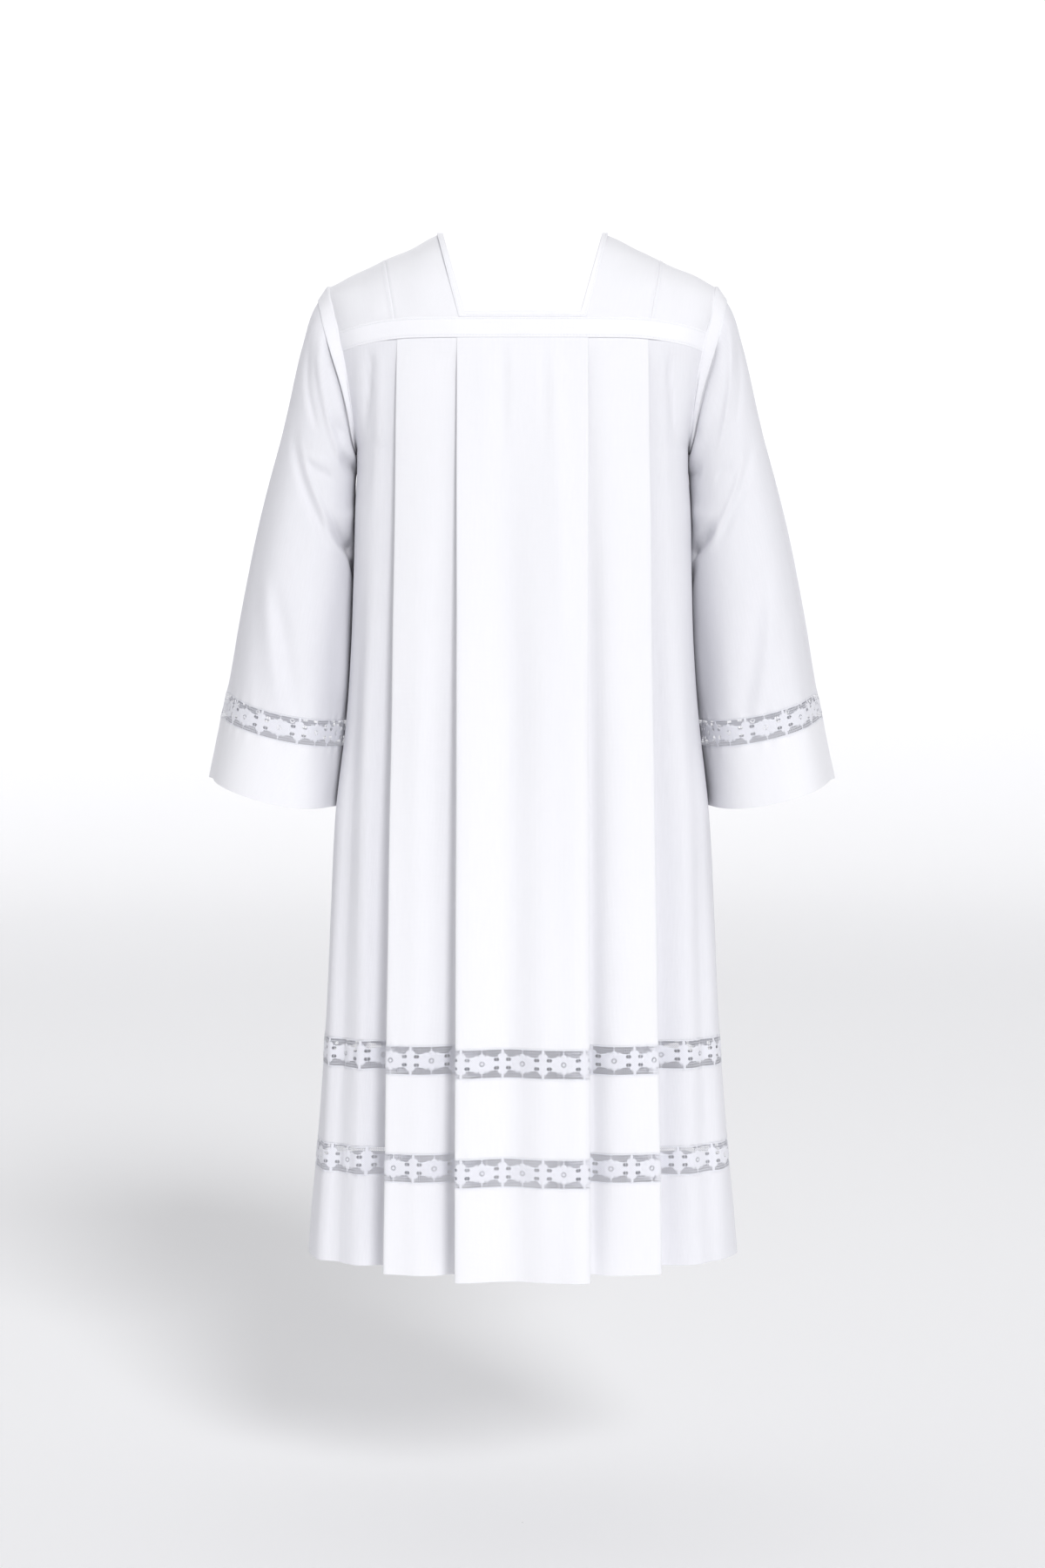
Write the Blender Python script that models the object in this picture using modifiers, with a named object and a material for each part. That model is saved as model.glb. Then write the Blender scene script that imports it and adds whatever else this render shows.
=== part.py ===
"""A surplice with a square neck, two pleats a side and lace insertions, worn and hollow.

Metres, +Z up. The wearer faces -Y, so the back is on the +Y side and +X is the wearer's left.
The origin is on the centre line, level with the top of the neck opening at the shoulders.
Every piece is an open sheet through the middle of the cloth, thickened by Solidify.
"""

import math
from collections import namedtuple

import bpy
import numpy as np

# Cloth and seams
WALL = 0.0012
BINDING_WALL = 0.0018
SEAM_GAP = 0.0003
BACK, FRONT = 1.0, -1.0

# Neck, straps and yoke bands: half-widths at the shoulder line and at the bands
NECK_TOP_X, NECK_BOTTOM_X = 0.094, 0.067
STRAP_TOP_X, STRAP_BOTTOM_X = 0.161, 0.148
BINDING_WIDTH = 0.006
YOKE_BAND_WIDTH = 0.024
BAND_TOP_Z = {BACK: -0.104, FRONT: -0.124}
BAND_DROP, BAND_DROP_FROM, BAND_DROP_TO = 0.014, 0.12, 0.214

# Pleats: two fold edges a side that face outwards, with their tucked cloth below
INNER_FOLD_TOP, INNER_FOLD_HEM = 0.074, 0.0765
OUTER_FOLD_TOP, OUTER_FOLD_HEM = 0.143, 0.160
TUCK_DEPTH = 0.038
LAYER_STEP_TOP, LAYER_STEP_HEM = 0.0034, 0.044
FOLD_TURN_TOP, FOLD_TURN_HEM = 0.0017, 0.003
FRONT_STEP_SHARE = 0.85

# Heights of the seams and the hem
PLEAT_TOP_Z = -0.128
HEM_Z = -1.205
UPPER_LACE = (-0.9400, -0.9747)
LOWER_LACE = (-1.0645, -1.0988)
HEM_SIDE_LIFT = 0.006

# Ring around the body: a superellipse that the side panels lie on
RING_SQUARENESS = 2.7
Side = namedtuple("Side", "z half_width")
SIDES = (
    Side(-0.280, 0.1945),
    Side(-0.320, 0.1970),
    Side(-0.380, 0.1982),
    Side(-0.495, 0.2025),
    Side(-0.570, 0.2080),
    Side(-0.671, 0.2195),
    Side(-0.793, 0.2266),
    Side(-0.935, 0.2335),
    Side(-1.060, 0.2425),
    Side(-1.165, 0.2520),
    Side(-1.205, 0.2548),
)
Depth = namedtuple("Depth", "z back front")
DEPTHS = (
    Depth(-0.100, 0.100, 0.090),
    Depth(-0.150, 0.104, 0.099),
    Depth(-0.220, 0.108, 0.110),
    Depth(-0.320, 0.109, 0.115),
    Depth(-0.600, 0.107, 0.109),
    Depth(-1.205, 0.105, 0.105),
)

# Sleeve rings, in order from the armhole to the cuff. Each has its outer, middle and inner
# point in the XZ plane, its half-depth in Y, its centre's Y and its squareness.
Ring = namedtuple("Ring", "along outer_x outer_z middle_x middle_z inner_x inner_z depth y square")
ARMHOLE = Ring(0.000, 0.2280, -0.062, 0.2045, -0.168, 0.1945, -0.280, 0.056, 0.000, 2.5)
RINGS = (
    ARMHOLE,
    Ring(0.031, 0.2450, -0.088, 0.2240, -0.188, 0.1995, -0.300, 0.066, -0.004, 2.4),
    Ring(0.073, 0.2580, -0.128, 0.2340, -0.220, 0.2000, -0.328, 0.075, -0.012, 2.3),
    Ring(0.152, 0.2770, -0.205, 0.2430, -0.278, 0.1990, -0.368, 0.085, -0.024, 2.2),
    Ring(0.249, 0.3005, -0.299, 0.2540, -0.352, 0.1995, -0.428, 0.094, -0.034, 2.2),
    Ring(0.407, 0.3330, -0.454, 0.2710, -0.486, 0.2050, -0.527, 0.107, -0.042, 2.2),
    Ring(0.493, 0.3480, -0.538, 0.2800, -0.561, 0.2095, -0.569, 0.113, -0.044, 2.2),
    Ring(0.525, 0.3550, -0.569, 0.2850, -0.592, 0.2130, -0.602, 0.116, -0.044, 2.2),
    Ring(0.596, 0.3700, -0.639, 0.2930, -0.665, 0.2210, -0.672, 0.121, -0.045, 2.2),
)
BAND_END = 0.022
SLEEVE_LACE = (0.493, 0.525)
CUFF_END = 0.596
SLEEVE_SEAM_GAP = 0.0005
ARMHOLE_GAP_TOP, ARMHOLE_GAP_SLOPE = 0.0004, 0.0012

# Soft folds that run down the cloth. The place is a share of the way round a sleeve, from its
# outer line over the back, or a share of a side panel from its tuck to the side seam.
Fold = namedtuple("Fold", "place width depth")
SLEEVE_FOLDS = (
    Fold(0.13, 0.045, -0.0045),
    Fold(0.25, 0.050, 0.0035),
    Fold(0.37, 0.045, -0.0060),
    Fold(0.63, 0.045, -0.0055),
    Fold(0.75, 0.050, 0.0035),
    Fold(0.88, 0.045, -0.0040),
)
SIDE_FOLDS = (
    Fold(0.42, 0.10, -0.0050),
    Fold(0.66, 0.10, 0.0030),
)

# Lace: a rosette with an eyelet in each repeat, counted from the middle of the piece
LACE_REPEAT = 0.047
EYELET_HALF = 0.0033
EYELET_CELL_HALF = 0.0075
EYELET_MARGIN = 0.0085

# Columns in each run of the pleated section, from the centre line to the side
RUN_COLUMNS = (3, 1, 2, 1, 4, 1, 2, 1, 6)
SIDE_RUN = len(RUN_COLUMNS) - 1
PANEL_ROWS_BELOW_TOP = (-0.170, -0.215, -0.255, -0.280, -0.380, -0.495, -0.570, -0.671, -0.800)
PLAIN_LACE_STEP = 0.030
SLEEVE_COLUMNS = 24
SLEEVE_ROWS = 8
YOKE_ROWS, YOKE_COLUMNS = 10, 3
NECK_COLUMNS = 4

LINEN_WHITE = (0.905, 0.912, 0.940, 1.0)
LACE_WHITE = (0.880, 0.886, 0.915, 1.0)


def smooth(at, keys, values):
    """Read a table between its rows along a curve that has no corner at a row."""
    keys, values = np.array(keys), np.array(values)
    if keys[0] > keys[-1]:
        keys, values = keys[::-1], values[::-1]
    slopes = np.gradient(values, keys)
    low = np.clip(np.searchsorted(keys, at) - 1, 0, len(keys) - 2)
    span = keys[low + 1] - keys[low]
    t = np.clip((at - keys[low]) / span, 0.0, 1.0)
    from_low = (1 + 2 * t) * (1 - t) ** 2 * values[low] + t * (1 - t) ** 2 * span * slopes[low]
    from_high = t * t * (3 - 2 * t) * values[low + 1] - t * t * (1 - t) * span * slopes[low + 1]
    return from_low + from_high


def ring_column(name, along):
    return smooth(along, [r.along for r in RINGS], [getattr(r, name) for r in RINGS])


def bump(place, folds):
    """Height of the soft folds at a place, with none at the far ends of the table's range."""
    return sum(f.depth * math.exp(-((place - f.place) / f.width) ** 2) for f in folds)


def sleeve_ring(along, count=361):
    """Closed ring of a left sleeve at a distance from its armhole, from its outer point."""
    turn = np.linspace(0.0, 2 * math.pi, count)
    square = ring_column("square", along)
    out = np.sign(np.cos(turn)) * np.abs(np.cos(turn)) ** (2 / square)
    back = np.sign(np.sin(turn)) * np.abs(np.sin(turn)) ** (2 / square)
    points = np.empty((count, 3))
    for axis, letter in ((0, "x"), (2, "z")):
        outer, middle, inner = (
            ring_column(f"{place}_{letter}", along) for place in ("outer", "middle", "inner"))
        points[:, axis] = middle + out * (outer - inner) / 2 + out ** 2 * ((outer + inner) / 2 - middle)
    points[:, 1] = ring_column("y", along) + back * ring_column("depth", along)
    return points


def at_shares(points, shares):
    """Points at shares of the length along a polyline."""
    steps = np.linalg.norm(np.diff(points, axis=0), axis=1)
    length = np.concatenate(([0.0], np.cumsum(steps)))
    return np.stack([np.interp(np.array(shares) * length[-1], length, points[:, k])
                     for k in range(points.shape[1])], axis=1)


def sleeve_points(along, shares):
    """Points of the sleeve at shares of the way round it, with its soft folds."""
    ring = sleeve_ring(along)
    centre = ring.mean(axis=0)
    low = (ARMHOLE.outer_z - ring[:, 2]) / (ARMHOLE.outer_z - ARMHOLE.inner_z)
    near_seam = max(0.0, 1 - along / BAND_END)
    ring[:, 0] += near_seam * (ARMHOLE_GAP_TOP + ARMHOLE_GAP_SLOPE * low)
    points = at_shares(ring, shares)
    strength = smooth(along, (0.0, 0.10, 0.30, CUFF_END), (0.0, 0.25, 0.9, 1.0))
    for point, share in zip(points, shares):
        outward = (point - centre) / np.linalg.norm(point - centre)
        outward[2] = 0.0
        point += outward * bump(share % 1.0, SLEEVE_FOLDS) * strength
    return points


ARMHOLE_LINE = sleeve_ring(0.0)[180::-1]


def armhole_at(z):
    """X and Y of the left armhole's seam at a height, on its back half."""
    x, y = (np.interp(z, ARMHOLE_LINE[:, 2], ARMHOLE_LINE[:, k]) for k in (0, 1))
    return float(x), float(max(y, 0.0))


def ring_depth(z, side):
    name = "back" if side == BACK else "front"
    return smooth(z, [d.z for d in DEPTHS], [getattr(d, name) for d in DEPTHS])


def panel_edge(z):
    """X and Y of a panel's side edge: the armhole, and the side seam below it."""
    if z > ARMHOLE.inner_z:
        return armhole_at(z)
    return float(smooth(z, [s.z for s in SIDES], [s.half_width for s in SIDES])), 0.0


def ring_half_width(z, side):
    """Half-width of the superellipse that passes through the panel's side edge."""
    x, y = panel_edge(z)
    inner = 1 - (y / ring_depth(z, side)) ** RING_SQUARENESS
    return x / inner ** (1 / RING_SQUARENESS)


def ring_y(x, z, side):
    share = min(abs(x) / ring_half_width(z, side), 1.0)
    return ring_depth(z, side) * (1 - share ** RING_SQUARENESS) ** (1 / RING_SQUARENESS)


def down_share(z):
    return max(0.0, (PLEAT_TOP_Z - z) / (PLEAT_TOP_Z - HEM_Z))


def between(top, hem, z):
    return top + (hem - top) * down_share(z)


def layer_step(z, side):
    step = between(LAYER_STEP_TOP, LAYER_STEP_HEM, z)
    return step if side == BACK else LAYER_STEP_TOP + (step - LAYER_STEP_TOP) * FRONT_STEP_SHARE


def pleat_corners(z, side):
    """Corners of the pleated section from the centre line out: x, and the rise off the ring."""
    inner = between(INNER_FOLD_TOP, INNER_FOLD_HEM, z)
    outer = between(OUTER_FOLD_TOP, OUTER_FOLD_HEM, z)
    turn = between(FOLD_TURN_TOP, FOLD_TURN_HEM, z)
    step = layer_step(z, side)
    return ((0.0, 2 * step), (inner, 2 * step), (inner, 2 * step - turn),
            (inner - TUCK_DEPTH, step + turn), (inner - TUCK_DEPTH, step), (outer, step),
            (outer, step - turn), (outer - TUCK_DEPTH, turn), (outer - TUCK_DEPTH, 0.0))


def side_run_point(z, share, side):
    """Point along the side panel, round the ring from the outer tuck to the panel's edge."""
    start_x = pleat_corners(z, side)[-1][0]
    width, depth = ring_half_width(z, side), ring_depth(z, side)
    edge_x, edge_y = panel_edge(z)
    power = RING_SQUARENESS / 2
    from_turn = math.asin(min((start_x / width) ** power, 1.0))
    to_turn = math.atan2((edge_x / width) ** power, (edge_y / depth) ** power)
    turns = np.linspace(from_turn, to_turn, 61)
    line = np.stack([width * np.sin(turns) ** (1 / power),
                     depth * np.maximum(np.cos(turns), 0.0) ** (1 / power)], axis=1)
    x, y = at_shares(line, [share])[0]
    fade = math.sin(math.pi * share) * down_share(z)
    rise = bump(share, SIDE_FOLDS) * fade
    along = np.array([x / width ** 2, y / depth ** 2])
    along /= np.linalg.norm(along)
    return x + along[0] * rise, y + along[1] * rise


def body_point(z, run, share, side, mirror):
    """Point of the body at a height and a share of one run of its section."""
    corners = pleat_corners(z, side)
    if run == SIDE_RUN:
        x, y = side_run_point(z, share, side)
    else:
        (x0, rise0), (x1, rise1) = corners[run], corners[run + 1]
        x = x0 + (x1 - x0) * share
        y = ring_y(x, z, side) + rise0 + (rise1 - rise0) * share
    return mirror * x, side * (y + SEAM_GAP / 2), z


def half_stations():
    """Every column of half a section off the centre line, as a run and a share of it."""
    stations = []
    for run, count in enumerate(RUN_COLUMNS):
        stations += [(run, (k + 1) / count) for k in range(count)]
    return stations


def both_halves(stations):
    """The stations of both halves from -X to +X, each with its mirror sign."""
    right = [(run, share, -1.0) for run, share in stations[::-1]]
    return right + [(run, share, 1.0) for run, share in stations]


def side_lift(z, run, share, side):
    """Rise of the hem's level towards the sides, where the cloth is held out least."""
    x = body_point(z, run, share, side, 1.0)[0]
    return HEM_SIDE_LIFT * down_share(z) ** 6 * (x / ring_half_width(z, side)) ** 4


def band_drop(x):
    share = max(0.0, (abs(x) - BAND_DROP_FROM) / (BAND_DROP_TO - BAND_DROP_FROM))
    return BAND_DROP * min(share, 1.0) ** 2


def body_level(z, run, share, side, mirror):
    """Point of the body on a level line, which drops at the yoke's ends and lifts at the hem."""
    top = BAND_TOP_Z[side] - YOKE_BAND_WIDTH
    x = body_point(z, run, share, side, mirror)[0]
    fade = max(0.0, 1 - (top - z) / 0.12)
    return body_point(z - band_drop(x) * fade + side_lift(z, run, share, side),
                      run, share, side, mirror)


def sheet_mesh(name, rows, closed=False, inside_out=False):
    """Mesh of an open sheet through rows of points, each row with the same number."""
    rows = [list(row) for row in rows]
    count = len(rows[0])
    columns = count if closed else count - 1
    points = [tuple(point) for row in rows for point in row]
    faces = []
    for r in range(len(rows) - 1):
        for c in range(columns):
            n = (c + 1) % count
            face = (r * count + c, r * count + n, (r + 1) * count + n, (r + 1) * count + c)
            faces.append(face[::-1] if inside_out else face)
    return new_mesh(name, points, faces)


def new_mesh(name, points, faces):
    mesh = bpy.data.meshes.new(name)
    mesh.from_pydata(points, [], faces)
    mesh.update()
    return mesh


def lace_mesh(name, point, stations, eyelets, inside_out=False):
    """Mesh of a lace strip between two levels, with a diamond eyelet in each marked cell.

    point(across, station, shift) gives a point: across runs from 0 at the top edge to 1 at the
    bottom one, and shift moves it along the strip in metres.
    """
    points, faces = [], []

    def add(across, station, shift=0.0):
        points.append(tuple(point(across, station, shift)))
        return len(points) - 1

    edge = [(add(0.0, s), add(1.0, s)) for s in stations]
    for k in range(len(stations) - 1):
        (top_a, low_a), (top_b, low_b) = edge[k], edge[k + 1]
        if k not in eyelets:
            faces.append((top_a, low_a, low_b, top_b))
            continue
        middle, half_across = eyelets[k]
        up = add(0.5 - half_across, middle)
        down = add(0.5 + half_across, middle)
        near = add(0.5, middle, -EYELET_HALF)
        far = add(0.5, middle, EYELET_HALF)
        faces += [(top_a, low_a, near), (low_a, down, near), (low_a, low_b, down),
                  (low_b, far, down), (low_b, top_b, far), (top_b, up, far),
                  (top_b, top_a, up), (top_a, near, up)]
    if inside_out:
        faces = [face[::-1] for face in faces]
    return new_mesh(name, points, faces)


def body_sheet(name, side, levels):
    stations = both_halves(half_stations())
    stations.insert(len(stations) // 2, (0, 0.0, 1.0))
    rows = [[body_level(z, run, share, side, mirror) for run, share, mirror in stations]
            for z in levels]
    return sheet_mesh(name, rows, inside_out=side == BACK)


def run_lengths(z, side):
    """Length of each run of half a section at a height."""
    lengths = []
    for run in range(len(RUN_COLUMNS)):
        line = np.array([body_point(z, run, share, side, 1.0) for share in np.linspace(0, 1, 25)])
        lengths.append(float(np.linalg.norm(np.diff(line, axis=0), axis=1).sum()))
    return lengths


def body_lace(name, side, levels):
    """Lace strip round half the body, its eyelets a repeat apart along the opened-out strip."""
    top, low = levels
    lengths = run_lengths((top + low) / 2, side)
    marks, cells, start = [], {}, 0.0
    for run, length in enumerate(lengths):
        places = [k * LACE_REPEAT - start for k in range(1, 12)]
        places = [p for p in places if EYELET_MARGIN <= p <= length - EYELET_MARGIN]
        cuts = [0.0 if run else EYELET_CELL_HALF]
        for place in places:
            cuts += [place - EYELET_CELL_HALF, place + EYELET_CELL_HALF]
        cuts.append(length)
        if run == 0:
            marks.append((0, EYELET_CELL_HALF / length))
        for k, (a, b) in enumerate(zip(cuts, cuts[1:])):
            parts = 1 if k % 2 else max(1, round((b - a) / PLAIN_LACE_STEP))
            marks += [(run, (a + (b - a) * (n + 1) / parts) / length) for n in range(parts)]
            if k % 2:
                cells[marks[-1]] = (run, places[k // 2] / length)
        start += length
    stations = both_halves(marks)
    half_across = EYELET_HALF / (top - low)
    eyelets = {len(marks) - 1: ((0, 0.0, 1.0), half_across)}
    for k, station in enumerate(stations):
        if station[:2] in cells:
            run, share = cells[station[:2]]
            eyelets[k if station[2] < 0 else k - 1] = ((run, share, station[2]), half_across)

    def point(across, station, shift):
        run, share, mirror = station
        place = share + mirror * shift / lengths[run]
        if place < 0:
            mirror, place = -mirror, -place
        return body_level(top + (low - top) * across, run, place, side, mirror)

    return lace_mesh(name, point, stations, eyelets, inside_out=side == FRONT)


def sleeve_shares(count=SLEEVE_COLUMNS):
    return [k / count for k in range(count)]


def sleeve_sheet(name, mirror, start, end, rows):
    """Tube of a sleeve between two distances from its armhole."""
    lines = []
    for k in range(rows + 1):
        line = sleeve_points(start + (end - start) * k / rows, sleeve_shares())
        line[:, 0] *= mirror
        lines.append(line)
    return sheet_mesh(name, lines, closed=True, inside_out=mirror > 0)


def sleeve_lace(name, mirror, half):
    """Half of the lace round a sleeve, half 0 over the back and half 1 over the front."""
    start, end = SLEEVE_LACE
    ring = sleeve_ring((start + end) / 2)
    girth = float(np.linalg.norm(np.diff(ring, axis=0), axis=1).sum())
    repeats = round(girth / 2 / LACE_REPEAT)
    gap = SEAM_GAP / 2 / girth
    cell_half = EYELET_CELL_HALF / girth
    stations, eyelets = [half / 2 + gap], {}
    for k in range(repeats):
        middle = half / 2 + (k + 0.5) / repeats / 2
        stations += [middle - cell_half, middle + cell_half]
        eyelets[len(stations) - 2] = (middle, EYELET_HALF / (end - start))
        if k < repeats - 1:
            stations.append(half / 2 + (k + 1) / repeats / 2)
    stations.append(half / 2 + 0.5 - gap)

    def point(across, station, shift):
        x, y, z = sleeve_points(start + (end - start) * across, [station + shift / girth])[0]
        return mirror * x, y, z

    return lace_mesh(name, point, stations, eyelets, inside_out=mirror > 0)


def shoulder_arch(way, side):
    """How far down and how far out the arch over the shoulder is, from 0 at its ridge to 1."""
    down = 1 - math.cos(way * math.pi / 2)
    band_z = BAND_TOP_Z[side] - BAND_DROP
    at_z = ARMHOLE.outer_z + (band_z - ARMHOLE.outer_z) * down
    return down, armhole_at(at_z)[1] / armhole_at(band_z)[1], at_z


def band_swell(x):
    """Rise of the yoke band off the ring, to lie level with the pleats below it."""
    rise = 2 * LAYER_STEP_TOP
    share = min(max((abs(x) - 0.070) / 0.115, 0.0), 1.0)
    return rise * (1 - share * share * (3 - 2 * share))


def band_point(x, z, side):
    z -= band_drop(x)
    return np.array([x, side * (ring_y(x, z, side) + band_swell(x)), z])


def yoke_x(share, way, side):
    """X of the yoke at a share across it: 0 at the neck, 1 at the strap's seam, 2 at the armhole."""
    down, _, at_z = shoulder_arch(way, side)
    seam = STRAP_TOP_X + (STRAP_BOTTOM_X - STRAP_TOP_X) * down
    neck = NECK_TOP_X + (NECK_BOTTOM_X - NECK_TOP_X) * down
    if share <= 1:
        return neck + (seam - neck) * share
    return seam + (armhole_at(at_z)[0] - seam) * (share - 1)


def yoke_point(share, way, side, inset=0.0):
    """Point of the left strap or shoulder, from the ridge to the yoke band on one side."""
    down, out, _ = shoulder_arch(way, side)
    ridge_x = yoke_x(share, 0.0, side)
    ridge_z = ARMHOLE.outer_z * (ridge_x - NECK_TOP_X) / (ARMHOLE.outer_x - NECK_TOP_X)
    foot = band_point(yoke_x(share, 1.0, side), BAND_TOP_Z[side], side)
    down = down * (ridge_z - foot[2] - SEAM_GAP) / (ridge_z - foot[2])
    x = yoke_x(share, way, side) + inset
    return np.array([x, foot[1] * out, ridge_z + (foot[2] - ridge_z) * down])


def yoke_rows():
    """Steps over the shoulder, from the front band to the back one."""
    ways = [k / YOKE_ROWS for k in range(YOKE_ROWS + 1)]
    return [(1 - way, FRONT) for way in ways[:-1]] + [(way, BACK) for way in ways]


def yoke_columns(from_share, near_inset):
    """Columns of a strap or shoulder: its share across the yoke, and its inset in metres."""
    parts = [k / YOKE_COLUMNS for k in range(YOKE_COLUMNS + 1)]
    return [(from_share + part, near_inset * (1 - part)) for part in parts]


STRAP_COLUMNS = yoke_columns(0.0, BINDING_WIDTH)
SHOULDER_COLUMNS = yoke_columns(1.0, SEAM_GAP)


def yoke_sheet(name, mirror, columns):
    rows = [[yoke_point(share, way, side, inset) * (mirror, 1.0, 1.0) for share, inset in columns]
            for way, side in yoke_rows()]
    return sheet_mesh(name, rows, inside_out=mirror < 0)


def neck_columns(half_width):
    """X of the columns between the neck's two lower corners."""
    return [half_width * k / NECK_COLUMNS for k in range(1 - NECK_COLUMNS, NECK_COLUMNS)]


def yoke_band(name, side):
    """Straight band across the chest or back, from armhole to armhole."""
    neck = NECK_BOTTOM_X + BINDING_WIDTH
    half = [yoke_point(share, 1.0, side, inset)[0]
            for share, inset in STRAP_COLUMNS + SHOULDER_COLUMNS[1:]]
    columns = [-x for x in half[::-1]] + neck_columns(neck) + half
    rows = []
    for k in range(3):
        z = BAND_TOP_Z[side] - (YOKE_BAND_WIDTH - SEAM_GAP) * k / 2
        narrower = armhole_at(z - BAND_DROP)[0] / half[-1]
        rows.append([band_point(x * narrower, z, side) for x in columns])
    return sheet_mesh(name, rows, inside_out=side == BACK)


def neck_side(side, mirror, way):
    """Inner and outer point of the neck binding beside a strap."""
    edge = yoke_point(0.0, way, side)
    inner = edge + (0.0, 0.0, BINDING_WIDTH * way ** 2)
    outer = edge + (BINDING_WIDTH - SEAM_GAP, 0.0, 0.0)
    return inner * (mirror, 1.0, 1.0), outer * (mirror, 1.0, 1.0)


def neck_foot(side, mirror):
    """Inner and outer points of the neck binding along the top of a yoke band."""
    wide = NECK_BOTTOM_X + BINDING_WIDTH - SEAM_GAP
    return [(band_point(mirror * x, BAND_TOP_Z[side] + BINDING_WIDTH, side),
             band_point(mirror * x * wide / NECK_BOTTOM_X, BAND_TOP_Z[side] + SEAM_GAP, side))
            for x in neck_columns(NECK_BOTTOM_X)[::-1]]


def neck_binding(name):
    """Folded strip round the square neck, from its free edge to the straps and bands."""
    ways = [k / YOKE_ROWS for k in range(YOKE_ROWS + 1)]
    pairs = []
    for mirror, near, far in ((1.0, BACK, FRONT), (-1.0, FRONT, BACK)):
        pairs += [neck_side(near, mirror, way) for way in ways[::-1]]
        pairs += [neck_side(far, mirror, way) for way in ways[1:]]
        pairs += neck_foot(far, mirror)
    return sheet_mesh(name, [[inner for inner, _ in pairs], [outer for _, outer in pairs]],
                      closed=True)


def add_object(name, mesh, colour, wall=WALL):
    """Object with its own material and a Solidify modifier that makes the sheet a closed wall."""
    item = bpy.data.objects.new(name, mesh)
    collection.objects.link(item)
    solid = item.modifiers.new("cloth thickness", "SOLIDIFY")
    solid.thickness = wall
    solid.offset = 0.0
    solid.use_even_offset = True
    mesh.materials.append(cloth_material(name, colour))
    mesh.shade_smooth()
    return item


def cloth_material(name, colour):
    material = bpy.data.materials.new(name)
    material.use_nodes = True
    shader = material.node_tree.nodes["Principled BSDF"]
    shader.inputs["Base Color"].default_value = colour
    shader.inputs["Roughness"].default_value = 0.72
    shader.inputs["Metallic"].default_value = 0.0
    return material


for old in list(bpy.data.objects):
    bpy.data.objects.remove(old)
collection = bpy.data.collections.new("surplice")
bpy.context.scene.collection.children.link(collection)

# Body: back and front, each cut in five strips from the yoke band to the hem
for side, word in ((BACK, "back"), (FRONT, "front")):
    top_z = BAND_TOP_Z[side] - YOKE_BAND_WIDTH - SEAM_GAP
    panel_levels = [top_z, *PANEL_ROWS_BELOW_TOP, UPPER_LACE[0]]
    add_object(f"{word}_panel", body_sheet(f"{word}_panel", side, panel_levels), LINEN_WHITE)
    gap = SEAM_GAP
    middle = (UPPER_LACE[1] - gap, (UPPER_LACE[1] + LOWER_LACE[0]) / 2, LOWER_LACE[0] + gap)
    hem = (LOWER_LACE[1] - gap, (LOWER_LACE[1] + HEM_Z) / 2, HEM_Z)
    add_object(f"middle_band_{word}", body_sheet(f"middle_band_{word}", side, middle), LINEN_WHITE)
    add_object(f"hem_band_{word}", body_sheet(f"hem_band_{word}", side, hem), LINEN_WHITE)
    upper = (UPPER_LACE[0] - gap, UPPER_LACE[1])
    add_object(f"lace_upper_{word}", body_lace(f"lace_upper_{word}", side, upper), LACE_WHITE)
    add_object(f"lace_lower_{word}", body_lace(f"lace_lower_{word}", side, LOWER_LACE), LACE_WHITE)
    add_object(f"yoke_band_{word}", yoke_band(f"yoke_band_{word}", side), LINEN_WHITE)

# Yoke and sleeves, a left and a right one of each
for mirror, word in ((1.0, "left"), (-1.0, "right")):
    strap = yoke_sheet(f"strap_{word}", mirror, STRAP_COLUMNS)
    add_object(f"strap_{word}", strap, LINEN_WHITE)
    shoulder = yoke_sheet(f"shoulder_{word}", mirror, SHOULDER_COLUMNS)
    add_object(f"shoulder_{word}", shoulder, LINEN_WHITE)
    band = sleeve_sheet(f"armhole_band_{word}", mirror, 0.0, BAND_END, 2)
    add_object(f"armhole_band_{word}", band, LINEN_WHITE)
    sleeve = sleeve_sheet(f"sleeve_{word}", mirror, BAND_END + SLEEVE_SEAM_GAP,
                          SLEEVE_LACE[0] - SLEEVE_SEAM_GAP, SLEEVE_ROWS)
    add_object(f"sleeve_{word}", sleeve, LINEN_WHITE)
    for half, part in enumerate(("rear", "fore")):
        lace = sleeve_lace(f"sleeve_lace_{part}_{word}", mirror, half)
        add_object(f"sleeve_lace_{part}_{word}", lace, LACE_WHITE)
    cuff = sleeve_sheet(f"cuff_{word}", mirror, SLEEVE_LACE[1] + SLEEVE_SEAM_GAP, CUFF_END, 2)
    add_object(f"cuff_{word}", cuff, LINEN_WHITE)

add_object("neck_binding", neck_binding("neck_binding"), LINEN_WHITE, BINDING_WALL)
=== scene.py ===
import math
from collections import namedtuple

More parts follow.
